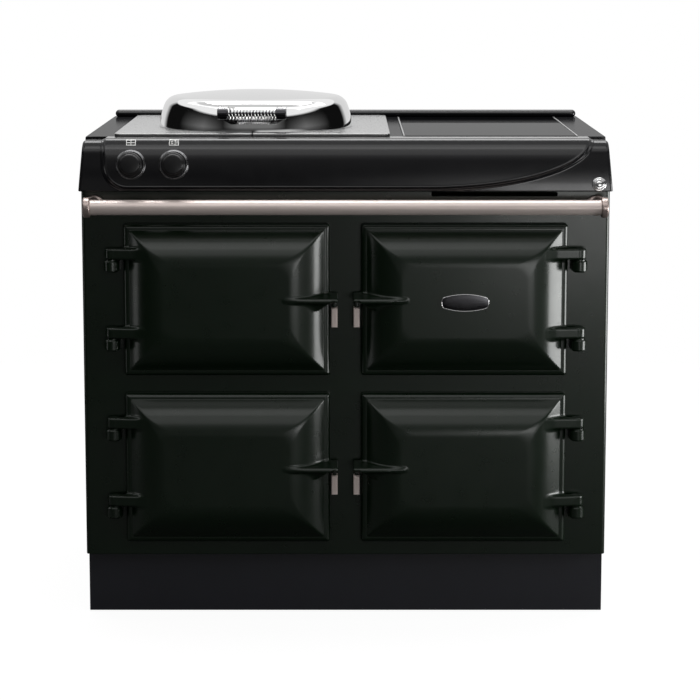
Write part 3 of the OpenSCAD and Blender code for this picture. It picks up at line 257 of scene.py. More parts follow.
M = {
    "enamel": enamel("enamel", (0.0006, 0.006, 0.001), 0.35, 0.15, 0.000005, satin=0.29, specular=0.33,
                     tint=(0.97, 1, 0.97)),
    "gloss_black": enamel("gloss_black", (0.0016, 0.0016, 0.0026), 0.45, 0.08, 0.000004, satin=0.2,
                          specular=0.33),
    "plate_black": enamel("plate_black", (0.009, 0.009, 0.01), 0.34, 0.12, 0.000002, satin=0.3, specular=0.0),
    "plinth": rough_metal("plinth", (0.0055, 0.006, 0.0105), 0.5, 0.0, 0.0009, 0.00003),
    "galvanised": spangled("galvanised", (0.55, 0.56, 0.57)),
    "casing": rough_metal("casing", (0.018, 0.018, 0.019), 0.42, 0.0, 0.0012, 0.00003),
    "frame_steel": rough_metal("frame_steel", (0.08, 0.08, 0.085), 0.5, 0.8, 0.002, 0.00004),
    "cast_raw": rough_metal("cast_raw", (0.1, 0.097, 0.094), 0.55, 0.4, 0.0015, 0.00012),
    "stainless": brushed("stainless", (0.74, 0.64, 0.6), 0.4, (0.02, 1, 1), 0.25, metallic=0.5),
    "chrome": brushed("chrome", (0.86, 0.86, 0.86), 0.05, (1, 1, 0.05), 0.3, 0.000002),
    "dark_chrome": rough_metal("dark_chrome", (0.05, 0.05, 0.053), 0.18, 1.0, 0.003, 0.000004),
    "bezel_metal": rough_metal("bezel_metal", (0.22, 0.22, 0.225), 0.16, 1.0, 0.003, 0.000004),
    "bright_wire": brushed("bright_wire", (0.8, 0.8, 0.8), 0.16, (1, 1, 1), 0.2, 0.000001),
    "satin": brushed("satin", (0.46, 0.46, 0.46), 0.34, (1, 0.03, 1)),
    "hob_glass": enamel("hob_glass", (0.0025, 0.0025, 0.003), 0.34, 0.03, 0.000001, satin=0.3, specular=0.0),
    "insulation": fibre("insulation", (0.42, 0.38, 0.26), 0.004, 0.0006),
    "seal": fibre("seal", (0.09, 0.088, 0.082), 0.0015, 0.0005),
    "liner_steel": rough_metal("liner_steel", (0.3, 0.305, 0.31), 0.36, 0.75, 0.004, 0.00003),
    "black_plastic": plastic("black_plastic", (0.004, 0.004, 0.0045), 0.3),
    "matt_plastic": plastic("matt_plastic", (0.55, 0.54, 0.5), 0.5),
    "board": plastic("board", (0.02, 0.09, 0.045), 0.45),
    "rail_cast": brushed("rail_cast", (0.46, 0.38, 0.35), 0.34, (1, 0.05, 1), 0.4, 0.00001, metallic=0.85),
    "print_white": plastic("print_white", (0.8, 0.8, 0.78), 0.4),
    "element": rough_metal("element", (0.12, 0.09, 0.075), 0.55, 0.7, 0.002, 0.00005),
}


# Nodes whose finish differs from the rest of their slot
LOOKS = {"hob_trim": "satin", "top_plate": "plate_black", "lid_handle_rod": "dark_chrome"}


def paint_frame():
    """Every node of the frame gets the material of its slot in the record, or a look of its own."""
    for part in frame["record"]["subparts"]:
        materials = NODES[part["node"]].data.materials
        materials.clear()
        materials.append(M[LOOKS.get(part["node"], part["material_slot"])])


# ------------------------------------------------------------------ mesh tools

def volume(points, faces):
    """Signed volume inside faces, above 0 where they face outward."""
    total = 0.0
    for face in faces:
        for i in range(1, len(face) - 1):
            total += np.dot(points[face[0]], np.cross(points[face[i]], points[face[i + 1]]))
    return total / 6


def add_piece(name, points, faces, slot, body, normals=None, crease=38, look=None):
    """A new closed piece from points in metres, riding on a body, with the finish of a slot of the record or
    a look of its own. Edges above crease degrees stay sharp."""
    points = np.array(points, float)
    if normals is None and volume(points, faces) < 0:
        faces = [face[::-1] for face in faces]
    mesh = bpy.data.meshes.new(name)
    mesh.from_pydata(points.tolist(), [], [[int(i) for i in face] for face in faces])
    mesh.update()
    piece = bpy.data.objects.new(name, mesh)
    bpy.context.scene.collection.objects.link(piece)
    mesh.materials.append(M[look or slot])
    mesh.polygons.foreach_set("use_smooth", [True] * len(mesh.polygons))
    if normals is None:
        mesh.set_sharp_from_angle(angle=math.radians(crease))
    else:
        mesh.normals_split_custom_set_from_vertices(normals.tolist())
    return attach(piece, body)


def smoother():
    """Node group that shades a mesh smooth, used after the rounding of a node of the frame."""
    group = bpy.data.node_groups.new("smooth_shading", "GeometryNodeTree")
    group.interface.new_socket("Geometry", in_out="INPUT", socket_type="NodeSocketGeometry")
    group.interface.new_socket("Geometry", in_out="OUTPUT", socket_type="NodeSocketGeometry")
    first, last = group.nodes.new("NodeGroupInput"), group.nodes.new("NodeGroupOutput")
    shade = group.nodes.new("GeometryNodeSetShadeSmooth")
    group.links.new(first.outputs[0], shade.inputs["Geometry"])
    group.links.new(shade.outputs[0], last.inputs[0])
    return group


def soften(group, name, width):
    """Rounds the sharp edges of a node of the frame by width mm with modifiers."""
    stack = NODES[name].modifiers
    stack.new("weld", "WELD").merge_threshold = 0.02 * MM
    flat = stack.new("flat", "DECIMATE")
    flat.decimate_type = "DISSOLVE"
    flat.angle_limit = math.radians(0.5)
    rounding = stack.new("rounding", "BEVEL")
    rounding.width = width * MM
    rounding.segments = 2
    rounding.limit_method = "ANGLE"
    rounding.angle_limit = math.radians(35)
    rounding.use_clamp_overlap = False
    stack.new("smooth", "NODES").node_group = group
    stack.new("normals", "WEIGHTED_NORMAL").weight = 100


def length(v):
    """Length of each vector."""
    return np.sqrt((v * v).sum(-1))


def round_box(p, low, high, r):
    """Distance to a box between two corners, with round edges."""
    low, high = np.array(low, float), np.array(high, float)
    q = np.abs(p - (low + high) / 2) - (high - low) / 2 + r
    return length(np.maximum(q, 0)) + np.minimum(q.max(-1), 0) - r


def round_outline(a, b, half_a, half_b, r):
    """Distance to a flat rectangle with round corners, about its middle."""
    qa, qb = np.abs(a) - half_a + r, np.abs(b) - half_b + r
    return np.hypot(np.maximum(qa, 0), np.maximum(qb, 0)) + np.minimum(np.maximum(qa, qb), 0) - r


def blended(a, b, k):
    """Union of two distances with a fillet of about k."""
    h = np.maximum(k - np.abs(a - b), 0) / k
    return np.minimum(a, b) - h * h * k / 4


def cut(a, b, k):
    """Intersection of two distances with a rounded edge of about k."""
    return -blended(-a, -b, k)


def lines(*stops):
    """Grid lines from runs of (start, end, step)."""
    runs = [np.linspace(a, b, max(2, int(round((b - a) / step)) + 1)) for a, b, step in stops]
    return np.unique(np.round(np.concatenate(runs), 4))


def gradient(field, p, step=0.05):
    """Slope of a field at points, by small steps."""
    slope = np.empty_like(p)
    for axis in range(3):
        shift = np.zeros(3)
        shift[axis] = step
        slope[:, axis] = (field(p + shift) - field(p - shift)) / (2 * step)
    return slope


def skin(field, xs, ys, zs):
    """Closed surface where field is 0, as quads from one point in each cell of the grid that it crosses.
    The points are then moved on to the surface. Returns points, faces and normals."""
    axes = (xs, ys, zs)
    grid = np.stack(np.meshgrid(*axes, indexing="ij"), -1)
    value = field(grid.reshape(-1, 3)).reshape(grid.shape[:3])
    cells = tuple(n - 1 for n in value.shape)
    total, count = np.zeros(cells + (3,)), np.zeros(cells)
    crossings = []
    for axis in range(3):
        near = [slice(None)] * 3
        far = [slice(None)] * 3
        near[axis], far[axis] = slice(0, -1), slice(1, None)
        a, b = value[tuple(near)], value[tuple(far)]
        index = np.argwhere((a < 0) != (b < 0))
        at = tuple(index.T)
        t = (a[at] / (a[at] - b[at]))[:, None]
        point = grid[tuple(near)][at] * (1 - t) + grid[tuple(far)][at] * t
        crossings.append((index, a[at] < 0))
        u, v = (axis + 1) % 3, (axis + 2) % 3
        for du in (0, 1):
            for dv in (0, 1):
                cell = index.copy()
                cell[:, u] -= du
                cell[:, v] -= dv
                good = ((cell >= 0) & (cell < cells)).all(1)
                np.add.at(total, tuple(cell[good].T), point[good])
                np.add.at(count, tuple(cell[good].T), 1)
    number = np.full(cells, -1)
    used = count > 0
    number[used] = np.arange(used.sum())
    points = total[used] / count[used][:, None]
    faces = []
    for axis, (index, outward) in enumerate(crossings):
        u, v = (axis + 1) % 3, (axis + 2) % 3
        corners = []
        for du, dv in ((1, 1), (0, 1), (0, 0), (1, 0)):
            cell = index.copy()
            cell[:, u] -= du
            cell[:, v] -= dv
            corners.append(number[tuple(cell.T)])
        quad = np.stack(corners, 1)
        quad[~outward] = quad[~outward][:, ::-1]
        faces.append(quad)
    for _ in range(5):
        slope = gradient(field, points)
        steep = np.maximum((slope * slope).sum(-1), 0.05)
        points = points - np.clip(field(points) / steep, -1.0, 1.0)[:, None] * slope
    slope = gradient(field, points)
    return points, np.concatenate(faces), slope / np.maximum(length(slope), 1e-6)[:, None]


# ------------------------------------------------------------------ doors

def hip_height(a, b):
    """How far the hipped middle stands out at a place on the door: the outline that passes through the
    place is found by halving, and each outline has its own height."""
    low, high = np.full(a.shape, -0.35), np.ones(a.shape)
    for _ in range(22):
        t = (low + high) / 2
        inset = BAND + (CROWN_INSET - BAND) * t
        grown = np.sign(t) * np.abs(t) ** HIP_CORNER_POWER
        r = np.maximum(HIP_FOOT_R + (CROWN_R - HIP_FOOT_R) * grown, 0.5)
        outside = round_outline(a, b, DOOR_W / 2 - inset, DOOR_H / 2 - inset, r) > 0
        high = np.where(outside, t, high)
        low = np.where(outside, low, t)
    return HIP_FOOT + (CROWN_OUT - HIP_FOOT) * (1 - (1 - low) ** HIP_POWER)


def soft_box(distances, r):
    """Body inside all of the given planes, with its edges rounded by r."""
    q = np.stack(distances, -1) + r
    return length(np.maximum(q, 0)) + np.minimum(q.max(-1), 0) - r


def door_leaf(x, out, z):
    """Distance to the door without its handle and lugs: a rounded rim and the hipped middle in it."""
    outline = round_outline(x, z, DOOR_W / 2, DOOR_H / 2, BEAD_R)
    behind = DOOR_GAP - out
    rim = np.maximum(soft_box((outline, out - EDGE_OUT - BEAD_R), RIM_ROUND), behind)
    steep = 0.78             # turns a height over the slopes into about a distance from them
    hip = np.maximum(steep * (out - hip_height(x, z)), behind)
    return np.minimum(rim, np.maximum(hip, outline + BAND - HIP_UNDER))


def with_handle(body, x, out, z):
    """Joins the handle to a door: a flat fin with a bowed front edge, the scooped web under it and the nose
    at the end of the fin."""
    inboard = DOOR_W / 2 - x
    bow, bow_start, bow_run, bow_power = 5.5, FIN_IN - 30, 42, 1.6
    front = out - FIN_OUT + bow * np.clip((inboard - bow_start) / bow_run, 0, 1) ** bow_power
    top = (z - FIN_T - FIN_SLOPE * (FIN_OUT - out)) * 0.98
    rooted = 12              # how far the fin runs on inside the crown
    planes = (front, top, -z, x - DOOR_W / 2 - FIN_PAST, FIN_REAR - out, inboard - FIN_IN - rooted)
    fin = soft_box(planes, 3.4)

    middle = FIN_IN / 2
    arc_r = (middle ** 2 + SCOOP_H ** 2) / (2 * SCOOP_H)
    hollow_r = 1.5 * SCOOP_H
    web = np.maximum(np.hypot(inboard - middle, z - arc_r + SCOOP_H) - arc_r, front + 1.0)
    web = cut(web, hollow_r - np.hypot(out - FIN_OUT - 3, z + hollow_r), 2.0)
    web = np.maximum(np.maximum(web, x - DOOR_W / 2), np.maximum(z - 1, DOOR_GAP + 1 - out))

    nose_x, nose_front, nose_top = DOOR_W / 2 + NOSE_FROM_EDGE, 20, 4
    latch = round_box(np.stack([x, out, z], 1), (nose_x - NOSE_W / 2, FIN_REAR, -NOSE_DROP),
                      (nose_x + NOSE_W / 2, nose_front, nose_top), 2.0)
    body = blended(body, web, 4.0)
    body = blended(body, fin, 5.0)
    return blended(body, latch, 3.0)


def with_lug(body, x, out, z, low):
    """Joins a hinge lug to a door, with its lower face at height low: a barrel, the leaning arm that carries
    it, and the bore for the pin, closed at the top."""
    from_pin = x + DOOR_W / 2 + HINGE_OUT
    reach = HINGE_OUT + LUG_REACH
    edge_r = 3.5
    tall = np.abs(z - low - LUG_T / 2) - LUG_T / 2
    barrel = soft_box((np.hypot(from_pin, out - HINGE_FWD) - LUG_R, tall), edge_r)
    face = out - HINGE_FWD - LUG_R - LUG_LEAN * from_pin / reach
    arm = soft_box((face, tall, -from_pin, from_pin - reach, HINGE_FWD - 4 - out), edge_r)
    arm = np.maximum(arm, EDGE_OUT - 2 - out - np.maximum(HINGE_OUT + 2 - from_pin, 0) * 0.5)
    body = blended(body, blended(barrel, arm, 2.0), 7.0)
    play, cap, run_out = 0.4, 1.4, 30
    around_pin = np.hypot(from_pin, out - HINGE_FWD) - PIN_R - play
    bore = np.maximum(around_pin, np.maximum(z - low - LUG_T + cap, low - z - run_out))
    return np.maximum(body, -bore)


def door_field(p):
    """Distance to a left door, about its middle, with y running back from the plate's face."""
    x, out, z = p[:, 0], -p[:, 1], p[:, 2]
    body = with_handle(door_leaf(x, out, z), x, out, z)
    for low in LUG_LOWS:
        body = with_lug(body, x, out, z, low)
    return body


def make_doors():
    """One left form and its mirror image, used for the upper and lower doors. The grid is fine where the
    edges, the lugs and the handle are."""
    half_w, half_h = DOOR_W / 2, DOOR_H / 2
    low_lug, high_lug = LUG_LOWS
    fine, coarse, past = 1.5, 4, 4
    lug_room = 8
    fin_end = half_w - FIN_IN - 14
    xs = lines((-half_w - HINGE_OUT - LUG_R - past, -half_w + 26, fine), (-half_w + 26, fin_end, coarse),
               (fin_end, half_w + FIN_PAST + past, fine))
    ys = lines((-FIN_OUT - past, 0, fine))
    zs = lines((-half_h - past, -half_h + 22, fine),
               (-half_h + 22, low_lug - lug_room, coarse),
               (low_lug - lug_room, low_lug + LUG_T + lug_room, fine),
               (low_lug + LUG_T + lug_room, -NOSE_DROP - past, coarse),
               (-NOSE_DROP - past, FIN_T + 10, fine),
               (FIN_T + 10, high_lug - lug_room, coarse),
               (high_lug - lug_room, high_lug + LUG_T + lug_room, fine),
               (high_lug + LUG_T + lug_room, half_h - 22, coarse),
               (half_h - 22, half_h + past, fine))
    points, faces, normals = skin(door_field, xs, ys, zs)
    for name, side in DOORS.items():
        low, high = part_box("door_panel_" + name)
        middle = np.array([(low.x + high.x) / 2, PLATE_Y * MM, (low.z + high.z) / 2])
        mirror = np.array([-side, 1, 1])
        turned = faces if side < 0 else faces[:, ::-1]
        door = add_piece("door_enamel_" + name, points * mirror * MM + middle, turned, "enamel",
                         "door_" + name, normals=normals * mirror)
        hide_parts("door_casting_" + name)


# ------------------------------------------------------------------ lid

def arc(centre, r, start, end, steps):
    """Points on an arc, in degrees from the first axis."""
    angles = [math.radians(start + (end - start) * i / steps) for i in range(steps + 1)]
    return [(centre[0] + r * math.cos(a), centre[1] + r * math.sin(a)) for a in angles]


def turned(outline, centre, axis=(0, 0, 1), steps=144, ring=False):
    """Points and faces of a turned form. The outline is (radius, place along the axis) in mm. It starts and
    ends on the axis, or goes round a ring."""
    axis = Vector(axis).normalized()
    across = Vector((1, 0, 0))
    up = axis.cross(across)
    points, faces, rows = [], [], []
    for r, h in outline:
        if r < 1e-6:
            rows.append([len(points)] * steps)
            points.append(Vector(centre) + axis * h * MM)
            continue
        first = len(points)
        rows.append([first + i for i in range(steps)])
        for i in range(steps):
            a = 2 * math.pi * i / steps
            points.append(Vector(centre) + (axis * h + across * r * math.cos(a) + up * r * math.sin(a)) * MM)
    for lower, upper in zip(rows, rows[1:] + rows[:1] if ring else rows[1:]):
        for i in range(steps):
            j = (i + 1) % steps
            quad = [lower[i], lower[j], upper[j], upper[i]]
            face = [k for n, k in enumerate(quad) if k != quad[n - 1]]
            if len(face) > 2:
                faces.append(face)
    return [tuple(p) for p in points], faces


def joined(*forms):
    """Several forms as one list of points and one of faces."""
    points, faces = [], []
    for more_points, more_faces in forms:
        first = len(points)
        points += [tuple(p) for p in more_points]
        faces += [[first + i for i in face] for face in more_faces]
    return points, faces


def stack(rings):
    """Points and faces of a closed form through rings of points, with a flat cap at both ends."""
    rings = [np.array(ring, float) for ring in rings]
    n = len(rings[0])
    points = np.concatenate(rings + [rings[0].mean(0)[None], rings[-1].mean(0)[None]])
    faces = []
    for k in range(len(rings) - 1):
        for i in range(n):
            j = (i + 1) % n
            faces.append([k * n + i, k * n + j, (k + 1) * n + j, (k + 1) * n + i])
    first, last = len(rings) * n, len(rings) * n + 1
    for i in range(n):
        j = (i + 1) % n
        faces.append([first, j, i])
        faces.append([last, (len(rings) - 1) * n + i, (len(rings) - 1) * n + j])
    return points, faces


def slab(top, bottom):
    """Points and faces of a thin closed form between two grids of points."""
    rows, columns = top.shape[:2]
    points = np.concatenate([top.reshape(-1, 3), bottom.reshape(-1, 3)])
    under = rows * columns
    faces = []
    for i in range(rows - 1):
        for j in range(columns - 1):
            a, d = i * columns + j, (i + 1) * columns + j
            b, c = a + 1, d + 1
            faces += [[a, b, c, d], [under + d, under + c, under + b, under + a]]
    rim = [j for j in range(columns)] + [i * columns + columns - 1 for i in range(1, rows)]
    rim += [(rows - 1) * columns + j for j in range(columns - 2, -1, -1)]
    rim += [i * columns for i in range(rows - 2, 0, -1)]
    for a, b in zip(rim, rim[1:] + rim[:1]):
        faces.append([b, a, under + a, under + b])
    return points, faces


def make_lid():
    """Domed lid, turned as a thin shell: a side that bows from its foot to the shoulder, the round shoulder
    and a shallow dome."""
    low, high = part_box("lid_shell")
    centre = ((low.x + high.x) / 2, (low.y + high.y) / 2, low.z)
    lean, late = math.radians(LID_LEAN), math.radians(LATE_LEAN)
    side_z = SHOULDER_Z + SHOULDER_R * math.sin(lean)
    shoulder_x = LID_R - side_z * math.tan(lean) - SHOULDER_R * math.cos(lean)
    drop = LID_RISE - SHOULDER_Z
    dome_r = (shoulder_x ** 2 + drop ** 2 - SHOULDER_R ** 2) / (2 * (drop - SHOULDER_R))
    dome_z = LID_RISE - dome_r
    joint = math.degrees(math.atan2(SHOULDER_Z - dome_z, shoulder_x))
    # the side is a parabola whose slope grows from first at the foot to last at the shoulder
    late_r = shoulder_x + SHOULDER_R * math.cos(late)
    late_z = SHOULDER_Z + SHOULDER_R * math.sin(late)
    mean, last = (LID_R - late_r) / late_z, math.tan(late)
    first = 2 * mean - last
    bend = (last - first) / (2 * late_z)
    outer = [(LID_R - 0.3, 0.0), (LID_R, 0.4)]
    outer += [(LID_R - first * z - bend * z * z, z) for z in np.linspace(2, late_z - 1.5, 16)]
    outer += arc((shoulder_x, SHOULDER_Z), SHOULDER_R, LATE_LEAN, joint, 14)
    outer += arc((0, dome_z), dome_r, joint, 90, 26)[1:-1]
    inner = [(r * (LID_R - LID_T) / LID_R, max(0, z - LID_T)) for r, z in outer if z > 0.7]
    outline = [(0, LID_RISE)] + outer[::-1] + inner + [(0, LID_RISE - LID_T)]
    points, faces = turned(outline[::-1], centre, steps=240)
    shell = add_piece("lid_dome", points, faces, "chrome", "lid")
    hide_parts("lid_shell")


# ------------------------------------------------------------------ fascia

def field_edge(x, z):
    """Distance outside the outline of the fascia's raised field."""
    z0 = FASCIA_Z + FIELD_Z
    qa, qb = FIELD_LEFT - x + FIELD_R, z0 - z + FIELD_R
    corner = np.hypot(np.maximum(qa, 0), np.maximum(qb, 0)) + np.minimum(np.maximum(qa, qb), 0) - FIELD_R
    run, rise = FIELD_RIGHT - FIELD_SWEEP_X, HOB_Z - z0
    u, v = np.maximum(x - FIELD_SWEEP_X, 0) / run, np.minimum(z - HOB_Z, 0) / rise
    h = np.hypot(u, v)
    sweep = (h - 1) * h / np.maximum(np.hypot(u / run, v / rise), 1e-6)
    return np.maximum(corner, np.where(x > FIELD_SWEEP_X, sweep, -1000))


def nose(y, z, height):
    """Distance to a leaning face with an elliptic rounding of some height under the flat top. The face bows
    back under the knobs."""
    below = np.minimum(z - KNOB_Z, 0) / (KNOB_Z - FASCIA_Z)
    upright = y - (z - FASCIA_Z) * math.tan(LEAN) - FACE_BOW * below ** 2
    u = (NOSE_DEPTH - FASCIA_OUT - upright) / NOSE_DEPTH
    v = (z - HOB_Z + height) / height
    h = np.hypot(u, v)
    curve = (h - 1) * h / np.maximum(np.hypot(u / NOSE_DEPTH, v / height), 1e-6)
    flat = np.maximum((-FASCIA_OUT - upright) * math.cos(LEAN), z - HOB_Z)
    return np.where((u > 0) & (v > 0), curve, flat)


def ramp(t):
    """From 0 below 0 to 1 above 1, with soft turns."""
    soft = 0.003
    return (t + np.sqrt(t * t + soft) - (t - 1) - np.sqrt((t - 1) ** 2 + soft)) / 2


def fascia_side(x, z):
    """Distance outside the fascia's ends, which lean in towards the top."""
    bottom, top = FASCIA_HALF
    return np.abs(x) - bottom + (bottom - top) * (z - FASCIA_Z) / (HOB_Z - FASCIA_Z)


def fascia_skin(x, y, z):
    """Distance to the outside of the fascia, without its edges."""
    off = field_edge(x, z)
    low = ramp(off / FIELD_BEVEL)
    rib_w = 1.5
    ridges = RIDGE * (np.exp(-(off / rib_w) ** 2) + np.exp(-((off - FIELD_BEVEL) / rib_w) ** 2))
    return nose(y, z, NOSE_FIELD) * (1 - low) + (nose(y, z, NOSE_ENDS) + FIELD_RAISE) * low - ridges


def face_y(z):
    """Place of the fascia's leaning face at a height, without its bow."""
    return -FASCIA_OUT + (z - FASCIA_Z) * math.tan(LEAN)


def fascia_field(p):
    """Distance to the fascia casting, with y running back from the plate's face."""
    x, y, z = p.T
    side = fascia_side(x, z)
    body = cut(fascia_skin(x, y, z), side, 7.0)
    body = cut(body, FASCIA_Z - z, 2.5)
    body = np.maximum(body, y - FASCIA_DEPTH)
    inside = np.maximum(nose(y, z, NOSE_FIELD) + FIELD_RAISE + WALL, side + WALL)
    body = np.maximum(body, -np.maximum(inside, FASCIA_Z + LIP - z))
    below = np.maximum(np.maximum(PLATE_T - y, side + WALL), z - FASCIA_Z - LIP - 1)
    body = np.maximum(body, -below)
    for knob_x in KNOBS.values():
        off = (y - face_y(KNOB_Z)) * math.sin(LEAN) + (z - KNOB_Z) * math.cos(LEAN)
        bore = np.maximum(np.hypot(x - knob_x, off) - BUSH_R, y - 20)
        body = np.maximum(body, -bore)
    return body


def on_plate(points):
    """Points measured in mm from the middle of the front plate's face, as metres in the frame."""
    return (np.asarray(points, float) + [0, PLATE_Y, 0]) * MM


def make_fascia():
    """Fascia casting with its raised field. The grid is fine at the knobs, the swept end and the edges."""
    xs = lines((-501, -375, 1.6), (-375, 150, 6), (150, 501, 1.7))
    ys = lines((-29, 12, 1.6), (12, 50, 3.5))
    zs = lines((FASCIA_Z - 2, FASCIA_Z + 20, 1.0), (FASCIA_Z + 20, HOB_Z + 3, 1.6))
    points, faces, normals = skin(fascia_field, xs, ys, zs)
    fascia = add_piece("fascia_casting", on_plate(points), faces, "gloss_black", "cooker", normals=normals)
    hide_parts("fascia_panel")


def on_nose(x, z, lift):
    """Point on the rounding of the field, lifted off it by some mm."""
    y = np.full_like(z, -FASCIA_OUT)
    for _ in range(30):
        y = y + np.maximum(fascia_skin(x, y, z), 0)
    p = np.stack([x, y, z], -1)
    slope = gradient(lambda q: fascia_skin(*q.T), p.reshape(-1, 3)).reshape(p.shape)
    return p + slope / length(slope)[..., None] * lift


def make_icons():
    """White pictograms above the knobs, each of thin bars: a hob plan and an oven."""
    bar, w, h, low = 1.3, 18.0, 10.2, 900.3      # bar width, width, height and lower edge
    proud, sunk = 0.25, -0.3                     # upper and lower side of the bars, off the casting
    outer_bars = [(0, w, 0, bar), (0, w, h - bar, h), (0, bar, bar, h - bar), (w - bar, w, bar, h - bar)]
    plan = outer_bars + [(w / 2 - bar / 2, w / 2 + bar / 2, bar, h - bar), (bar, w / 2 - bar, 4.2, 5.4),
                         (w / 2 + bar, w - bar, 4.2, 5.4)]
    oven = outer_bars + [(w / 2 + 1.5, w / 2 + 1.5 + bar, bar, h - bar), (3.4, 7.6, 3.2, 4.4),
                         (3.4, 7.6, 5.8, 7.0), (14.0, 15.2, 3.0, 7.2)]
    for (name, x0), bars in zip(KNOBS.items(), (plan, oven)):
        forms = []
        for a, b, c, d in bars:
            across, up = x0 - w / 2 + np.linspace(a, b, 3), low + np.linspace(c, d, 6)
            x, z = np.meshgrid(across, up, indexing="ij")
            forms.append(slab(on_plate(on_nose(x, z, proud)), on_plate(on_nose(x, z, sunk))))
        points, faces = joined(*forms)
        add_piece("icon_" + name, points, faces, "matt_plastic", "cooker", look="print_white")


OUT_OF_FACE = (0, -math.cos(LEAN), math.sin(LEAN))
UP_THE_FACE = (0, math.sin(LEAN), math.cos(LEAN))

# Outlines of turned pieces, as (radius, height over the face), with round shoulders
BEZEL = [(BUSH_R, -1.2), (28.5, -1.2), (28.5, 1.6), (28.1, 2.4), (27.2, 2.8), (26.6, 3.0), (26.3, 3.6),
         (26.1, 4.6), (25.6, 5.2), (24.9, 5.5), (24.0, 5.4), (23.4, 4.8), (23.0, 3.6), (BUSH_R, 3.4)]
KNOB_CAP = [(0, 6.5), (20.2, 6.5), (21.4, 7.2), (22.4, 8.6), (22.9, 10.4), (22.9, 21.0), (22.7, 22.4),
            (22.0, 23.8), (20.9, 24.7), (19.6, 25.1), (19.0, 25.5), (18.7, 26.4), (18.2, 27.6), (17.2, 28.4),
            (15.6, 28.8), (0, 29.0)]
KNOB_HUB = [(0, 2.0), (9, 2.0), (9, 6.8), (0, 6.8)]
BUTTON = [(0, -0.5), (13, -0.5), (13, 1.4), (12.7, 2.2), (12.0, 2.7), (11.0, 2.7), (10.4, 2.2), (10.1, 1.8),
          (9.6, 1.9), (9.3, 2.8), (8.9, 3.9), (8.2, 4.4), (7.3, 4.4), (6.8, 3.9), (6.4, 3.3), (5.8, 3.3),
          (5.2, 3.7), (3.5, 4.2), (0, 4.4)]
MARK_HALF_W, MARK_LOW, MARK_HIGH = 0.7, 9.0, 15.0      # short rib on the cap's face
MARK_RINGS = ((28.7, 0.0), (29.3, 0.0), (29.5, -0.35))  # heights along the rib, and its growth there


def mark_ring(centre, height, grow):
    """Four corners of the rib on a knob's face, at a height."""
    low, high = MARK_LOW - grow, MARK_HIGH + grow
    corners = []
    for side, up in ((-1, low), (1, low), (1, high), (-1, high)):
        across = Vector((side * (MARK_HALF_W + grow), 0, 0))
        corners.append(centre + (Vector(OUT_OF_FACE) * height + across + Vector(UP_THE_FACE) * up) * MM)
    return corners


def make_knobs():
    """Two knob caps, each with a hub behind it and a rib on its face, and a stepped ring round each."""
    rings = []
    for name, x in KNOBS.items():
        centre = on_plate((x, face_y(KNOB_Z), KNOB_Z))
        rings.append(turned(BEZEL, centre, OUT_OF_FACE, ring=True))
        cap = turned(KNOB_CAP, centre, OUT_OF_FACE)
        hub = turned(KNOB_HUB, centre, OUT_OF_FACE, steps=48)
        knob = add_piece(name + "_knob_cap", *joined(cap, hub), "black_plastic", name + "_dial")
        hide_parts(name + "_knob")
        rib = [mark_ring(Vector(centre), height, grow) for height, grow in MARK_RINGS]
        add_piece(name + "_knob_mark", *stack(rib), "black_plastic", name + "_dial")
    bezels = add_piece("knob_rings", *joined(*rings), "black_plastic", "cooker", look="bezel_metal")
    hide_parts("knob_bezels")


def make_button():
    """Round button at the right end of the fascia, with a stepped face."""
    centre = on_plate((BUTTON_X, face_y(BUTTON_Z) + FIELD_RAISE / math.cos(LEAN), BUTTON_Z))
    points, faces = turned(BUTTON, centre, OUT_OF_FACE, steps=96)
    button = add_piece("end_button", points, faces, "chrome", "cooker")
    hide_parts("fascia_button")


# ------------------------------------------------------------------ badge, rail and coil

def badge_ring(inset, depth, centre, count=160):
    """Ring of points on the outline of the badge, set in by some mm, at a height over the crown."""
    angle = np.linspace(0, 2 * math.pi, count, endpoint=False)
    low, high = np.zeros(count), np.full(count, BADGE_W)
    for _ in range(30):
        r = (low + high) / 2
        a, b = np.abs(r * np.cos(angle)), r * np.sin(angle)
        off = BADGE_ARC - BADGE_H / 2
        arcs = np.maximum(np.hypot(a, b - off), np.hypot(a, b + off)) - BADGE_ARC
        straight = BADGE_W / 2 - BADGE_END
        ends = np.where(a > straight, np.hypot(a - straight, b) - BADGE_END, -BADGE_END)
        inside = np.maximum(arcs, ends) < -inset
        low, high = np.where(inside, r, low), np.where(inside, high, r)
    x, z = centre[0] + low * np.cos(angle), centre[2] + low * np.sin(angle)
    return on_plate(np.stack([x, np.full(count, centre[1] - depth), z], 1))


# Badge from its outline inwards, as (inset, height over the crown)
BADGE_RIM = [(0.3, 0.0), (0, 0.3), (0, 2.0), (0.15, 2.6), (0.5, 2.9), (0.9, 2.95), (1.2, 2.8), (1.35, 2.5),
             (1.4, 2.2)]
BADGE_FIELD = [(1.3, 1.6), (1.35, 2.2), (3.0, 2.35), (6.0, 2.5), (10.0, 2.6)]


def make_badge():
    """Oval plate on the upper right door: a bright rim round a dark field that is slightly domed."""
    low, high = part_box("door_badge")
    centre = ((low.x + high.x) / 2 / MM, -CROWN_OUT, (low.z + high.z) / 2 / MM)
    points, faces = stack([badge_ring(inset, height, centre) for inset, height in BADGE_RIM])
    rim = add_piece("badge_rim", points, faces, "chrome", "door_tr")
    points, faces = stack([badge_ring(inset, height, centre) for inset, height in BADGE_FIELD])
    field = add_piece("badge_plate", points, faces, "chrome", "door_tr", look="dark_chrome")
    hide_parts("door_badge")
    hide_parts("door_badge")


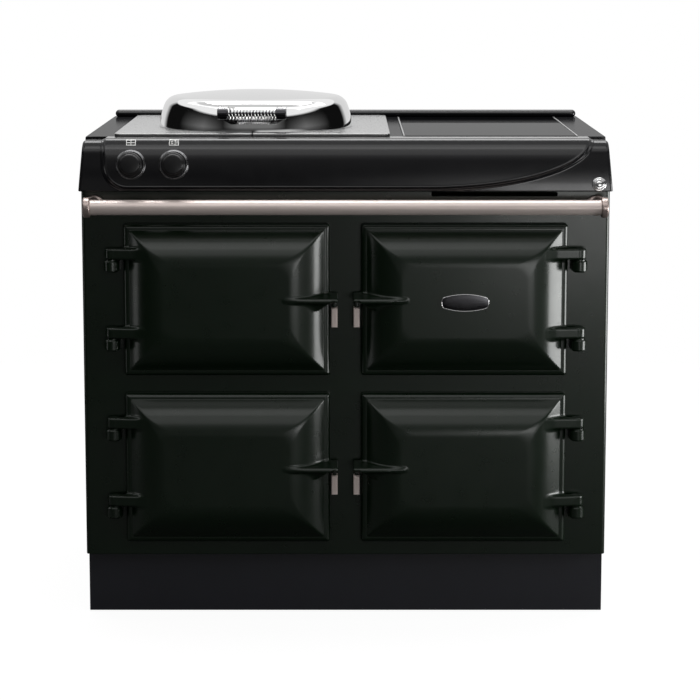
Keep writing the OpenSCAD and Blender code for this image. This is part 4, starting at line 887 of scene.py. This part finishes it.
def bracket_field(p):
    """Distance to the left rail bracket: a foot on the plate, an elbow and a cap round the rail's end."""
    x, y, z = p[:, 0] + CAP_X, -p[:, 1], p[:, 2] - RAIL_Z
    foot_x, foot_r, foot_t, arm_r = 10.5, 19.5, 6, 12.5
    cap = soft_box((np.hypot(y - RAIL_OUT, z) - CAP_R, np.abs(x) - CAP_T / 2), 3.5)
    foot = soft_box((np.hypot(x - foot_x, z) - foot_r, y - foot_t, -y), 2.5)
    t = np.clip((y - 4) / (RAIL_OUT - 4), 0, 1)
    middle = foot_x * (1 - t ** 1.5)
    arm = soft_box((np.hypot((x - middle) * (1 + 0.9 * t), z) - arm_r, y - RAIL_OUT, 1 - y), 2.0)
    body = blended(blended(foot, arm, 9.0), cap, 7.0)
    end_wall, play = 4, 0.1
    bore = np.maximum(np.hypot(y - RAIL_OUT, z) - RAIL_R - play, end_wall - CAP_T / 2 - x)
    return np.maximum(body, -bore)


def make_rail():
    """Elbow brackets of the towel rail: one form and its mirror image."""
    fine, past = 1.3, 3
    xs = lines((-CAP_X - 9, -CAP_X + 31, fine))
    ys = lines((-RAIL_OUT - CAP_R - past, 2, fine))
    zs = lines((RAIL_Z - CAP_R - past, RAIL_Z + CAP_R + past, fine))
    points, faces, normals = skin(bracket_field, xs, ys, zs)
    mirror = np.array([-1, 1, 1])
    both = np.concatenate([faces, faces[:, ::-1] + len(points)])
    points = np.concatenate([points, points * mirror])
    normals = np.concatenate([normals, normals * mirror])
    brackets = add_piece("rail_elbows", on_plate(points), both, "stainless", "cooker", normals=normals,
                         look="rail_cast")
    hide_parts("rail_brackets")


def make_coil():
    """Coiled wire sleeve between the handle's posts: a tube along a helix with its ends in the posts."""
    low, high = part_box("lid_handle_coil")
    centre = (low + high) / 2
    per_turn, sides = 26, 8
    count = COIL_TURNS * per_turn
    angle = np.linspace(0, 2 * math.pi * COIL_TURNS, count + 1)
    x = np.linspace(-POST_SPAN / 2, POST_SPAN / 2, count + 1)
    line = np.stack([x, COIL_R * np.cos(angle), COIL_R * np.sin(angle)], 1)
    out = np.stack([np.zeros_like(x), np.cos(angle), np.sin(angle)], 1)
    along = np.gradient(line, axis=0)
    along /= length(along)[:, None]
    across = np.cross(along, out)
    rings = []
    for k in range(count + 1):
        turn = np.linspace(0, 2 * math.pi, sides, endpoint=False)[:, None]
        ring = line[k] + WIRE_R * (np.cos(turn) * out[k] + np.sin(turn) * across[k])
        rings.append(ring * MM + np.array(centre))
    coil = add_piece("handle_coil", *stack(rings), "chrome", "lid", look="bright_wire", crease=60)
    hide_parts("lid_handle_coil")


# Nodes that stay as they are in the frame, with the width of their rounded edges in mm
ROUNDED = {"top_plate": 1.6, "front_plate": 1.2, "plinth_panel": 1.0, "hotplate_surround": 1.2,
           "hob_glass": 0.8, "hob_trim": 0.5, "lid_handle_posts": 1.6}


def soften_nodes():
    """Rounded edges on the plates, the trims and the handle's posts."""
    group = smoother()
    for name, width in ROUNDED.items():
        soften(group, name, width)


# ------------------------------------------------------------------ build the pieces

paint_frame()
make_doors()
make_lid()
make_fascia()
make_icons()
make_knobs()
make_button()
make_badge()
make_rail()
make_coil()
soften_nodes()

# ------------------------------------------------------------------ stage, camera and lights

def make_stage():
    """Plain floor. The camera and clear things see it as white with the object's shadow, and gloss sees it as
    dark ground."""
    mesh = bpy.data.meshes.new("floor")
    half = 2.6
    corners = [(-half, -half, 0), (half, -half, 0), (half, half, 0), (-half, half, 0)]
    mesh.from_pydata(corners, [], [(0, 1, 2, 3)])
    floor = bpy.data.objects.new("floor", mesh)
    bpy.context.scene.collection.objects.link(floor)
    mat, tree, shader = new_material("floor", (0.06, 0.06, 0.06), 0.9)
    path = node(tree, "ShaderNodeLightPath").outputs
    seen = math_node(tree, "MAXIMUM", path["Is Camera Ray"], path["Is Transmission Ray"])
    strength = math_node(tree, "MULTIPLY", seen, 0.94)
    shader.inputs["Emission Color"].default_value = (1, 1, 1, 1)
    tree.links.new(strength, shader.inputs["Emission Strength"])
    mesh.materials.append(mat)


def zone(tree, value, stops, height=1.0):
    """From 0 up to height between the first two stops, and back down between the last two."""
    start, full, fade, end = stops
    up = spread(tree, value, 0.0, height, start, full)
    down = spread(tree, value, 1.0, 0.0, fade, end)
    return math_node(tree, "MULTIPLY", up, down)


# The studio that gloss sees, by the direction of a ray: TURN is its angle from the front in radians, above 0
# to the right, and HIGH is its rise, from -1 straight down to 1 straight up. Zones have four stops each.
REAR_TURN, REAR_LEVEL = (2.3, 2.5), 0.78
STRIP_HIGH = (0.43, 0.47, 0.7, 0.76)
FRONT_TURN = (0.35, 0.7)
FRONT_RISES = ((0.04, 0.16, 0.18), (0.3, 0.45, 0.3))    # each from, to, and by how much
WALL_HIGH = (-0.14, -0.115, 0.02, 0.1)
RIGHT_WALL_TURN, RIGHT_WALL_LEVEL = (-0.02, 0.1, 0.7, 1.2), 1.0
LEFT_WALL_TURN, LEFT_WALL_LEVEL = (-1.2, -0.1, -0.09, -0.04), 0.2
PATCH_TURN, PATCH_HIGH, PATCH_LEVEL = (0.6, 1.1, 1.15, 1.8), (-0.05, 0.12, 0.14, 0.45), 0.16
DARK_LEVEL, MATT_LEVEL = 0.005, 0.3


def make_world():
    """White where the camera and clear things see it. Gloss mirrors a dim studio: pale behind the object, a
    pale strip high all round, a front that rises in two steps, a low wall that is pale at the right and dim
    at the left, and a dim patch at each side. Matt surfaces get an even light."""
    world = bpy.data.worlds.new("studio")
    bpy.context.scene.world = world
    world.use_nodes = True
    tree = world.node_tree
    path = node(tree, "ShaderNodeLightPath").outputs
    direction = node(tree, "ShaderNodeTexCoord").outputs["Generated"]
    way = node(tree, "ShaderNodeSeparateXYZ", {0: direction}).outputs
    turn = math_node(tree, "ARCTAN2", way["X"], math_node(tree, "MULTIPLY", way["Y"], -1.0))
    around, high = math_node(tree, "ABSOLUTE", turn), way["Z"]

    def both(a, b):
        return math_node(tree, "MULTIPLY", a, b)

    rear = spread(tree, around, 0.0, REAR_LEVEL, *REAR_TURN)
    strip = zone(tree, high, STRIP_HIGH)
    first, second = [spread(tree, high, 0.0, by, start, end) for start, end, by in FRONT_RISES]
    rise = both(math_node(tree, "ADD", first, second), spread(tree, high, 1.0, 0.0, *STRIP_HIGH[2:]))
    front = both(spread(tree, around, 1.0, 0.0, *FRONT_TURN), rise)
    wall = zone(tree, high, WALL_HIGH)
    right = both(zone(tree, turn, RIGHT_WALL_TURN, RIGHT_WALL_LEVEL), wall)
    left = both(zone(tree, turn, LEFT_WALL_TURN, LEFT_WALL_LEVEL), wall)
    patch = both(zone(tree, around, PATCH_TURN, PATCH_LEVEL), zone(tree, high, PATCH_HIGH))
    total = rear
    for level in (strip, front, right, left, patch, DARK_LEVEL):
        total = math_node(tree, "MAXIMUM", total, level)
    seen = math_node(tree, "MAXIMUM", path["Is Camera Ray"], path["Is Transmission Ray"])
    strength = math_node(tree, "MAXIMUM", seen, both(total, path["Is Glossy Ray"]))
    matt = math_node(tree, "SUBTRACT", 1.0, math_node(tree, "MAXIMUM", seen, path["Is Glossy Ray"]))
    strength = math_node(tree, "ADD", strength, both(matt, MATT_LEVEL))
    background = tree.nodes["Background"]
    background.inputs["Color"].default_value = (1, 1, 1, 1)
    tree.links.new(strength, background.inputs["Strength"])


def area_light(name, place, target, size, radiance):
    """Softbox of a size in metres, with the brightness at which its own face would be seen."""
    data = bpy.data.lights.new(name, "AREA")
    data.shape = "RECTANGLE"
    data.size, data.size_y = size
    data.energy = radiance * math.pi * size[0] * size[1]
    lamp = bpy.data.objects.new(name, data)
    bpy.context.scene.collection.objects.link(lamp)
    lamp.location = place
    lamp.rotation_euler = (Vector(target) - Vector(place)).to_track_quat("-Z", "Y").to_euler()


# Lamps as (name, place, target, size, radiance), in metres
LAMPS = (
    ("right", (2.0, -0.5, 0.5), (0.2, -0.1, 0.5), (1.0, 0.8), 10.0),
    ("left", (-2.5, -0.58, 0.45), (-0.2, -0.32, 0.45), (0.4, 0.75), 1.3),
    ("key", (0, -2.2, 3.2), (0, -0.3, 0.5), (2.6, 0.9), 1.6),
    ("card", (1.16, PLATE_Y * MM - 3.6, 0.52), (0.4, -0.1, 0.6), (1.3, 0.66), 3.2),
    ("above", (0, 0.35, 3.2), (0, 0.35, 0), (3.0, 1.0), 6.0),
    ("canopy", (0, -0.15, 1.95), (0, -0.15, 0), (2.6, 1.5), 0.7),
)

# Camera, fitted to the corners of the object in the photograph
SENSOR = 36
FOCAL_IN_SENSORS = 3.484
CAMERA_BACK, CAMERA_HIGH, CAMERA_DIP = 4.54, 1.25, 8.39    # metres, metres, degrees
CAMERA_SHIFT = (0.0064, -0.05)


def make_camera():
    """Camera in front of the cooker, looking down a little."""
    data = bpy.data.cameras.new("camera")
    data.sensor_width = SENSOR
    data.lens = FOCAL_IN_SENSORS * SENSOR
    data.shift_x, data.shift_y = CAMERA_SHIFT
    camera = bpy.data.objects.new("camera", data)
    bpy.context.scene.collection.objects.link(camera)
    camera.location = (0, PLATE_Y * MM - CAMERA_BACK, CAMERA_HIGH)
    camera.rotation_euler = (math.radians(90 - CAMERA_DIP), 0, 0)
    bpy.context.scene.camera = camera


make_stage()
make_world()
make_camera()
for lamp in LAMPS:
    area_light(*lamp)
bpy.context.scene.view_settings.view_transform = "Standard"
